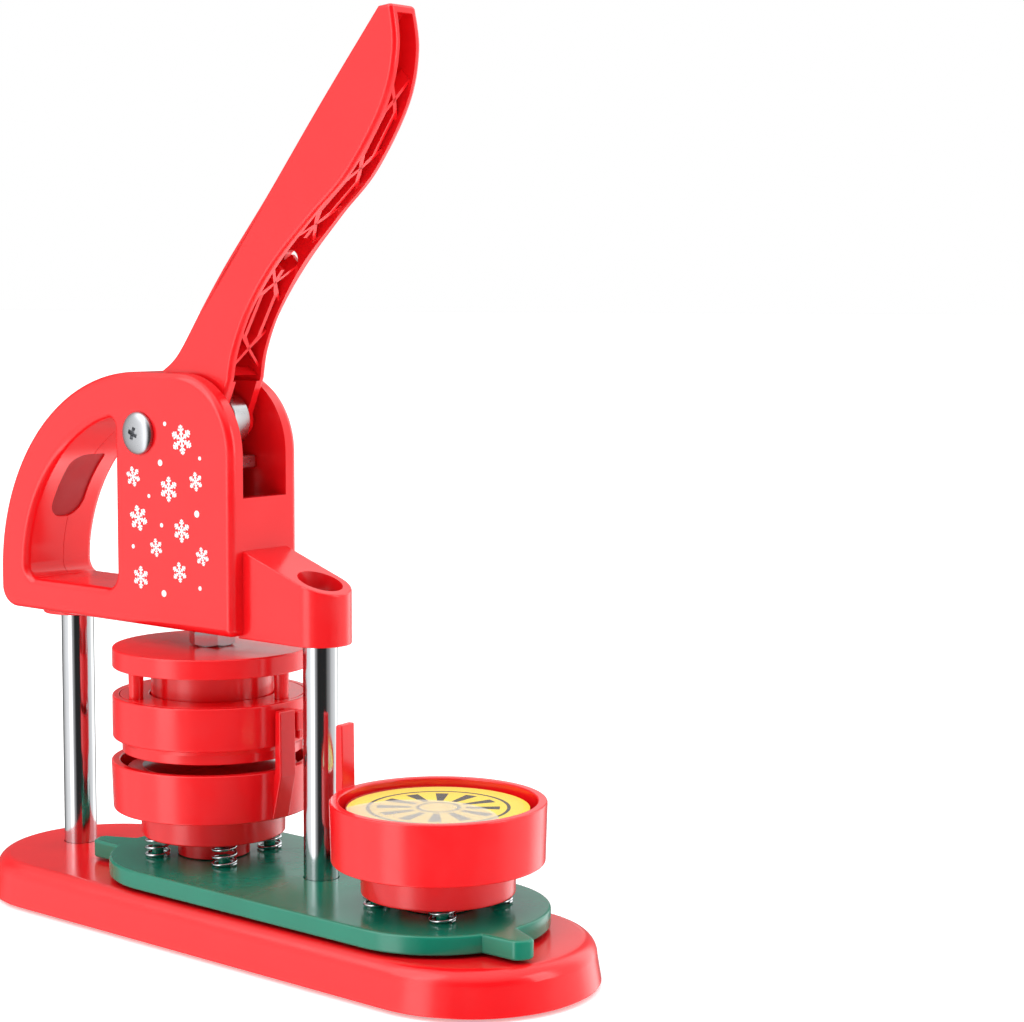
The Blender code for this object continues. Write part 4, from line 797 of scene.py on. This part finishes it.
def flared(name, outline, half, radius, steps=8):
    """A cutter for a way through a plate across Y that leaves round edges on both faces."""
    form = bmesh.new()
    levels = [(half - radius + radius * sin(a), radius * (1 - cos(a))) for a in quarter(steps)]
    levels.append((half + 1, radius))
    levels = [(-y, grow) for y, grow in reversed(levels)] + levels
    hub = sum(outline, Vector((0, 0))) / len(outline)
    spokes = []
    for i, spot in enumerate(outline):
        along = (outline[(i + 1) % len(outline)] - outline[i - 1]).normalized()
        out = Vector((along.y, -along.x))
        spokes.append(out if out.dot(spot - hub) > 0 else -out)
    rings = []
    for y, grow in levels:
        edge = [spot + out * grow * MM for spot, out in zip(outline, spokes)]
        rings.append([form.verts.new((p.x, y * MM, p.y)) for p in edge])
    for below, above in zip(rings, rings[1:]):
        for i in range(len(outline)):
            form.faces.new((below[i - 1], below[i], above[i], above[i - 1]))
    form.faces.new(rings[0])
    form.faces.new(rings[-1])
    bmesh.ops.recalc_face_normals(form, faces=form.faces)
    return from_form(name, form, at())


def make_head():
    head = slab("moulded_head", [head_outline()], -HEAD_HALF, HEAD_HALF, at(), upright=True)
    bake(bevel(head, EDGE_R, 7, clamp=False))
    cut(head, flared("grip_way", [Vector(p) for p in grip_outline()], HEAD_HALF, EDGE_R))
    rear_boss = turned("rear_boss", [
        (0, HEAD_LOW + 5, 0), (14.5, HEAD_LOW + 5, 0), (14.5, 93.4, 0.6), (0, 93.4, 0)],
        (REAR_ROD_X, 0, TABLE_Z))
    join(head, rear_boss, make_boss())
    place = at()
    grub_z = middle("rear_column_set_screw").z
    cut(head, slab("lever_slot", [slot_outline()], -12, 12, place, upright=True),
        cylinder("pivot_way", 4.3, -40, 40, PIVOT, LAY_OVER))
    cut(head, cylinder("ram_bore", 9.3, 80, 119, place), thumb_slab("grip_pocket", -4, 1.3))
    cut(head, parting_cutter())
    front = (FRONT_ROD_X, 0, TABLE_Z)
    cut(head, cylinder("counterbore", 9.0, 106.5, 160, front, steps=96),
        cylinder("bolt_way", 4.2, 80, 108, front), cylinder("front_socket", 7.3, 80, 102.3, front, steps=80))
    cut(head, cylinder("rear_socket", 7.3, 80, 103.3, (REAR_ROD_X, 0, TABLE_Z), steps=80))
    cut(head, cylinder("grub_way", 2.8, -HEAD_HALF - 2, -2, (REAR_ROD_X, 0, grub_z), LAY_OVER, steps=32))
    mount(head, ["press_head"], "red_plastic")
    # A thin sheet of the darker red on the thumb recess's floor, as painted shade.
    mount(thumb_slab("recess_shade_floor", 0.8, 1.28), [], None, "frame", RECESS_SHADE_RED)
    make_head_screws(grub_z)


def make_head_screws(grub_z):
    low, high = (corner.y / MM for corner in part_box("rear_column_set_screw"))
    grub = turned("grub_screw", [(0, -low, 0), (2.0, -low, 0.3), (2.5, -low - 0.8, 0.2), (2.5, -high, 0.3),
                                 (0, -high, 0)], (REAR_ROD_X, 0, grub_z), LAY_OVER, steps=40)
    cut(grub, cylinder("grub_key", 1.5, -high - 1, -high + 3, (REAR_ROD_X, 0, grub_z), LAY_OVER, steps=6))
    mount(grub, ["rear_column_set_screw"], "steel")
    low, high = span("front_head_bolt")
    axis = (FRONT_ROD_X, 0, 0)
    bolt = turned("socket_bolt", [(0, high, 0), (6.5, high, 0.7), (6.5, high - 8, 0.2), (3.9, high - 8, 0),
                                  (3.9, low, 0.5), (0, low, 0)], axis, steps=64)
    cut(bolt, cylinder("bolt_key", 3.4, high - 4.2, high + 1, axis, steps=6))
    mount(bolt, ["front_head_bolt"], "steel")


def make_pivot():
    seat = HEAD_HALF + GAP
    crown = [(8.75 * sin(a), seat + 0.8 + 2.7 * cos(a), 0) for a in quarter(12)]
    shank = [(8.75, seat, 0.2), (4.0, seat, 0), (4.0, -seat, 0.5), (0, -seat, 0)]
    screw = turned("cross_screw", crown + shank, PIVOT, LAY_OVER, steps=96)
    for i in range(2):
        form = bmesh.new()
        bmesh.ops.create_cone(form, cap_ends=True, segments=4, radius1=2.2 * MM, radius2=5.0 * MM,
                              depth=3.4 * MM)
        bmesh.ops.rotate(form, verts=form.verts, matrix=Matrix.Rotation(radians(45), 3, "Z"))
        bmesh.ops.scale(form, verts=form.verts, vec=(1.0, 0.34, 1.0))
        spot = PIVOT + Vector((0, -(seat + 3.1) * MM, 0))
        turn = (LAY_OVER[0], radians(20 + 90 * i), 0)
        cut(screw, from_form(f"cross_recess_{i}", form, spot, turn))
    mount(screw, ["pivot_screw"], "chrome", material=SATIN)
    cap = turned("cap_nut", [
        (0, seat + 4.2, 0), (4.6, seat + 4.2, 1.2), (8.0, seat + 2.4, 1.0), (8.0, seat + GAP, 0.2),
        (0, seat + GAP, 0)], PIVOT, (radians(-90), 0, 0), steps=96)
    mount(cap, ["pivot_cap_nut"], "chrome")


# ---------------------------------------------------------------- printed snow on the head
def flake_outline(size):
    """One closed line round a six-armed flake whose arms carry three pairs of side twigs."""
    half = 0.031 * size
    slant = Vector((cos(radians(60)), sin(radians(60))))
    across = Vector((-slant.y, slant.x))
    side = [Vector((half / math.tan(radians(30)), half))]
    for start, length in ((0.15, 0.07), (0.26, 0.13), (0.37, 0.08)):
        root = Vector((start * size, half))
        tip = root + slant * length * size
        side += [root, tip, tip - across * 2 * half, root + Vector((2 * half / slant.y, 0))]
    side += [Vector((0.47 * size, half)), Vector((0.5 * size, 0))]
    arm = [Vector((p.x, -p.y)) for p in side[:-1]] + list(reversed(side))
    points = []
    for k in range(6):
        turn = Matrix.Rotation(radians(60 * k), 2)
        points += [turn @ p for p in arm]
    return points


# Where each flake sits and how wide it is, then where each dot sits and its radius
FLAKES = ((3.5, 173.5, 12.4), (-26.0, 157.0, 8.6), (-4.5, 153.0, 10.6), (11.5, 157.0, 8.0),
          (-23.0, 140.0, 11.0), (3.0, 136.5, 9.8), (-12.5, 128.5, 7.8), (15.0, 127.0, 7.8),
          (-22.0, 115.5, 9.6), (1.5, 119.5, 8.6))
DOTS = ((-6.5, 179.5, 0.9), (-9.5, 163.5, 1.3), (14.0, 166.5, 0.8), (-16.5, 149.5, 0.8), (12.0, 144.0, 1.4),
        (-9.0, 138.0, 0.9), (-26.5, 128.0, 0.9), (-8.0, 110.0, 1.4), (13.5, 114.0, 0.9))


def make_print():
    depth = 0.08
    for i, (x, z, size) in enumerate(FLAKES, 1):
        turn = Matrix.Rotation(radians(30 + 7 * (i % 3)), 2)
        outline = [turn @ p * MM for p in flake_outline(size)]
        flake = slab(f"snow_print_{i}", [outline], 0, depth, at(x, 0, z), upright=True)
        flake.location.y = -(HEAD_HALF + depth) * MM
        mount(flake, [], None, "frame", INK)
    for i, (x, z, radius) in enumerate(DOTS, 1):
        dot = cylinder(f"snow_dot_{i}", radius, 0, depth, at(x, -HEAD_HALF, z), LAY_OVER, 32)
        mount(dot, [], None, "frame", INK)


# ---------------------------------------------------------------- lever and roller
# In the lever's own frame: origin on the pivot, x forward, z up.
LEVER_ROOT, LEVER_TIP = 10.4, 7.2
LEVER_BACK = ((121.6, 164.6), (92.0, 130.0), (65.5, 97.7), (44.6, 72.6), (27.0, 50.8), (13.0, 32.5),
              (3.6, 25.4))
LEVER_FRONT = ((43.8, 23.0), (46.6, 34.9), (54.6, 51.0), (69.6, 69.6), (89.6, 88.0), (108.5, 104.4),
               (125.4, 128.5), (130.8, 148.5), (128.6, 165.3))
BULGE, BULGE_Z, BULGE_REACH = 0.9, 68.0, 18.0
WALL = 3.0
CROSSINGS = (34.0, 60.5, 83.0, 104.0, 129.0)
SPREADS = (0.5, 0.0, 0.5, 0.5)
RIB_FOOT = 23.4
RIB_DEEP = 7.5
HANG_X, HANG_Z, HANG_R = 62.7, 70.8, 3.8


def flowing(points, per_span):
    """A Catmull-Rom curve through points, in millimetres."""
    padded = [points[0], *points, points[-1]]
    result = []
    for i in range(1, len(padded) - 2):
        p0, p1, p2, p3 = (Vector(p) for p in padded[i - 1:i + 3])
        for step in range(per_span):
            t = step / per_span
            result.append(0.5 * (2 * p1 + (p2 - p0) * t + (2 * p0 - 5 * p1 + 4 * p2 - p3) * t * t
                                 + (3 * p1 - p0 - 3 * p2 + p3) * t ** 3))
    return result + [Vector(points[-1])]


def shifted(points, distance):
    """A line moved sideways, to the left of its own direction."""
    result = []
    for i, spot in enumerate(points):
        along = (points[min(i + 1, len(points) - 1)] - points[max(i - 1, 0)]).normalized()
        result.append(spot + Vector((-along.y, along.x)) * distance)
    return result


def lever_half(z):
    """Half the lever's width at a height above the pivot, in millimetres."""
    low, high = LEVER_FRONT[0][1], LEVER_FRONT[-1][1]
    share = min(max((z - low) / (high - low), 0.0), 1.0)
    swell = BULGE * math.exp(-((z - BULGE_Z) / BULGE_REACH) ** 2)
    return LEVER_ROOT + share * (LEVER_TIP - LEVER_ROOT) + swell


def narrowed(obj, wall=0.0):
    """Follow the lever's taper across Y, less a wall on each side."""
    for vert in obj.data.vertices:
        vert.co.y *= (lever_half(vert.co.z / MM) - wall) / (LEVER_ROOT - wall)
    return obj


def make_lever():
    back, front = flowing(LEVER_BACK, 8), flowing(LEVER_FRONT, 8)
    reach_x, reach_z = (ROLLER.x - PIVOT.x) / MM, (ROLLER.z - PIVOT.z) / MM
    foot = rounded(arc(0, 0, 12.0, 120, 288, 30) + arc(reach_x, reach_z, 7.5, -72, 20, 16))
    outline = [p * MM for p in back] + foot + [p * MM for p in front]
    lever = slab("moulded_lever", [outline], -LEVER_ROOT, LEVER_ROOT, PIVOT, upright=True)
    bake(bevel(narrowed(lever), 1.9, 6, 50, False))
    inner, opening = shifted(back, WALL + 0.8), shifted(front, -8)
    top = LEVER_BACK[0][1] - 2.6
    share = (top - inner[1].y) / (inner[0].y - inner[1].y)
    channel = [inner[1].lerp(inner[0], share)] + inner[1:] + [Vector((20, 22)), Vector((60, 22))]
    channel += [p for p in opening[8:] if p.y < top - 1] + [Vector((140, top))]
    half = LEVER_ROOT - WALL
    trough = slab("lever_trough", [[p * MM for p in channel]], -half, half, PIVOT, upright=True)
    cut(lever, bake(bevel(narrowed(trough, WALL), 0.8, 3, 50)))
    clevis = arc(reach_x, reach_z, 13.2, 100, 240, 24) + [(60, -30, 0), (60, 22, 0), (28, 22, 0)]
    cut(lever, slab("clevis_gap", [rounded(clevis)], -5.8, 5.8, PIVOT, upright=True))
    cut(lever, cylinder("lever_bore", 4.3, -30, 30, PIVOT, LAY_OVER),
        cylinder("pin_way", 4.1, -30, 30, ROLLER, LAY_OVER))
    cut(lever, cylinder("hang_hole", HANG_R, -20, -2, PIVOT + Vector((HANG_X, 0, HANG_Z)) * MM, LAY_OVER))
    mount(lever, ["lever"], "red_plastic", sharp=35)
    make_ribs(back, front)
    make_roller()


def make_ribs(back, front):
    """Stiffening ribs in the lever's open side: two long ones that pinch together, and one straight."""
    form = bmesh.new()

    def station(height):
        """The fore and aft ends of a rib at a height above the pivot."""
        after = next(i for i, p in enumerate(front) if p.y > height)
        share = (height - front[after - 1].y) / (front[after].y - front[after - 1].y)
        spot = front[after - 1].lerp(front[after], share)
        nearest = min(back, key=lambda p: (p - spot).length)
        inward = (nearest - spot).normalized()
        return spot + inward * 1.9, spot + inward * RIB_DEEP

    def plate(low, low_y, high, high_y, thick=0.85):
        corners = []
        for height, y in ((low, low_y), (high, high_y)):
            for spot in station(height):
                corners += [form.verts.new((spot.x * MM, (y + side) * MM, spot.y * MM))
                            for side in (-thick, thick)]
        bmesh.ops.convex_hull(form, input=corners)

    def reach(height):
        return lever_half(height) - WALL + 0.4

    for crossing in CROSSINGS:
        for side in (-1, 1):
            for end in (crossing - 7.5, crossing + 7.5):
                plate(crossing, 0.0, end, side * reach(end))
    for low, high, spread in zip(CROSSINGS, CROSSINGS[1:], SPREADS):
        for side in (-1, 1) if spread else (1,):
            inset = side * reach((low + high) / 2) * spread
            plate(low, 0.0, low + 5.0, inset)
            plate(high - 5.0, inset, high, 0.0)
            if spread:
                plate(low + 5.0, inset, high - 5.0, inset)
    plate(RIB_FOOT, -reach(RIB_FOOT), RIB_FOOT, reach(RIB_FOOT), 0.6)
    ribs = from_form("lever_ribs", form, PIVOT)
    mount(ribs, [], "red_plastic", "lever")


def make_roller():
    pin = turned("cross_pin", [(0, 10.4, 0), (3.8, 10.4, 0.5), (3.8, -10.4, 0.5), (0, -10.4, 0)],
                 ROLLER, LAY_OVER, steps=64)
    mount(pin, ["roller_pin"], "steel")
    rings = {
        "outer_race": ("roller_outer_race", 11.0, 9.0, -4.2, 4.2, 0.6),
        "inner_race": ("roller_inner_race", 6.0, 4.1, -3.5, 3.5, 0.4),
        "shield_near": ("roller_shield_near", 8.7, 6.3, 2.4, 3.1, 0.1),
        "shield_far": ("roller_shield_far", 8.7, 6.3, -3.1, -2.4, 0.1),
        "spacer_near": ("roller_spacer_near", 5.6, 4.1, 3.8, 5.5, 0.2),
        "spacer_far": ("roller_spacer_far", 5.6, 4.1, -5.5, -3.8, 0.2),
    }
    for name, (node, outer, inner, low, high, soft) in rings.items():
        ring = turned(name, [
            (inner, high, soft / 2), (outer, high, soft), (outer, low, soft), (inner, low, soft / 2)],
            ROLLER, LAY_OVER, steps=96)
        mount(ring, [node], "steel")
    form = bmesh.new()
    for i in range(7):
        spot = Matrix.Rotation(radians(360 / 7 * i), 4, "Z") @ Matrix.Translation((7.5 * MM, 0, 0))
        bmesh.ops.create_uvsphere(form, u_segments=20, v_segments=12, radius=1.2 * MM, matrix=spot)
    mount(from_form("race_balls", form, ROLLER, LAY_OVER), ["roller_ball_ring"], "steel")


# ---------------------------------------------------------------- stage, light and camera
FLOOR_GLOW = 0.35


def make_stage():
    """A pale floor that runs to the horizon."""
    floor = from_form("studio_floor", disc_form(40.0))
    material, tree, shader, place = new_material("floor_paint", (0.9, 0.9, 0.9), 0.6)
    mottle = noise(tree, place, 3.0, 2.0)
    link(two_tone(tree, mottle, (0.89, 0.89, 0.89), (0.91, 0.91, 0.91)), shader.inputs["Base Color"])
    shader.inputs["Emission Color"].default_value = (1.0, 1.0, 1.0, 1.0)
    shader.inputs["Emission Strength"].default_value = FLOOR_GLOW
    floor.data.materials.append(material)
    floor.visible_glossy = False


def disc_form(radius):
    form = bmesh.new()
    bmesh.ops.create_circle(form, cap_ends=True, segments=96, radius=radius)
    return form


def add_area_light(name, place, aim, width, height, power):
    light = bpy.data.lights.new(name, "AREA")
    light.shape = "RECTANGLE"
    light.size, light.size_y = width, height
    light.energy = power
    obj = bpy.data.objects.new(name, light)
    obj.location = place
    obj.rotation_euler = (Vector(aim) - Vector(place)).to_track_quat("-Z", "Y").to_euler()
    bpy.context.scene.collection.objects.link(obj)


# Brightness of the studio round the object, by share of a turn from -X, anticlockwise seen from above
WALLS = ((0.00, 0.30), (0.06, 0.80), (0.12, 1.15), (0.18, 1.30), (0.21, 2.60), (0.24, 2.60),
         (0.28, 0.50), (0.33, 0.03), (0.46, 0.03), (0.52, 0.30), (0.60, 0.90), (0.66, 1.10),
         (0.72, 2.20), (0.75, 2.20), (0.80, 0.30), (0.92, 0.20))
CEILING = 1.5
BACKDROP = 1.0


def make_world():
    """A white backdrop to look at, and a studio of soft panels to light and reflect."""
    world = bpy.data.worlds.new("studio_world")
    world.use_nodes = True
    tree = world.node_tree
    backdrop = tree.nodes["Background"]
    backdrop.inputs["Color"].default_value = (1.0, 1.0, 1.0, 1.0)
    backdrop.inputs["Strength"].default_value = BACKDROP
    place = tree.nodes.new("ShaderNodeTexCoord")
    split = tree.nodes.new("ShaderNodeSeparateXYZ")
    link(place.outputs["Generated"], split.inputs["Vector"])
    turn = tree.nodes.new("ShaderNodeMath")
    turn.operation = "ARCTAN2"
    link(split.outputs["Y"], turn.inputs[0])
    link(split.outputs["X"], turn.inputs[1])
    share = ranged(tree, turn.outputs["Value"], 0.0, 1.0, -math.pi, math.pi)
    walls = tree.nodes.new("ShaderNodeValToRGB")
    walls.color_ramp.interpolation = "EASE"
    stops = walls.color_ramp.elements
    for i, (where, bright) in enumerate(WALLS):
        stop = stops[i] if i < 2 else stops.new(where)
        stop.position = where
        stop.color = (bright, bright, bright, 1.0)
    link(share, walls.inputs["Fac"])
    mix = tree.nodes.new("ShaderNodeMix")
    mix.data_type = "RGBA"
    link(ranged(tree, split.outputs["Z"], 0.0, 1.0, 0.45, 0.95), mix.inputs["Factor"])
    link(walls.outputs["Color"], mix.inputs["A"])
    mix.inputs["B"].default_value = (CEILING, CEILING, CEILING, 1.0)
    studio = tree.nodes.new("ShaderNodeBackground")
    link(mix.outputs["Result"], studio.inputs["Color"])
    ray = tree.nodes.new("ShaderNodeLightPath")
    choose = tree.nodes.new("ShaderNodeMixShader")
    link(ray.outputs["Is Camera Ray"], choose.inputs["Fac"])
    link(studio.outputs["Background"], choose.inputs[1])
    link(backdrop.outputs["Background"], choose.inputs[2])
    link(choose.outputs["Shader"], tree.nodes["World Output"].inputs["Surface"])
    bpy.context.scene.world = world


def make_light():
    make_world()
    sun = bpy.data.lights.new("soft_key", "SUN")
    sun.energy = 0.7
    sun.angle = radians(50)
    key = bpy.data.objects.new("soft_key", sun)
    key.rotation_euler = Vector((0.35, 0.62, -0.75)).to_track_quat("-Z", "Y").to_euler()
    bpy.context.scene.collection.objects.link(key)
    aim = (0.0, 0.0, 0.17)
    add_area_light("side_softbox", (1.1, 0.35, 0.5), aim, 0.5, 0.8, 3)
    add_area_light("rim_softbox", (-0.7, 1.0, 0.6), aim, 0.6, 1.0, 1)
    bpy.context.scene.view_settings.view_transform = "Standard"


# The camera's bearing, height and roll in degrees, its aim and distance in metres, and its lens
CAMERA_DEG = (39.29, 5.76, 0.26)
CAMERA_AIM = Vector((0.1228, 0, 0.1808))
CAMERA_DISTANCE = 0.8243
CAMERA_LENS = 79.12


def make_camera():
    azimuth, elevation, roll = (radians(a) for a in CAMERA_DEG)
    back = Vector((sin(azimuth) * cos(elevation), -cos(azimuth) * cos(elevation),
                   sin(elevation)))
    right = Vector((cos(azimuth), sin(azimuth), 0))
    up = back.cross(right)
    across = right * cos(roll) + up * sin(roll)
    data = bpy.data.cameras.new("photo_camera")
    data.sensor_width = 36.0
    data.lens = CAMERA_LENS
    data.clip_start, data.clip_end = 0.05, 20
    camera = bpy.data.objects.new("photo_camera", data)
    camera.matrix_world = Matrix.Translation(CAMERA_AIM + back * CAMERA_DISTANCE) @ Matrix(
        (across, back.cross(across), back)).transposed().to_4x4()
    bpy.context.scene.collection.objects.link(camera)
    bpy.context.scene.camera = camera


make_base()
make_columns()
make_table()
for die_name, die_facts in DIES.items():
    make_lower_die(die_name, die_facts)
make_blanks()
make_upper_die()
make_ram()
make_head()
make_pivot()
make_print()
make_lever()
make_stage()
make_light()
make_camera()
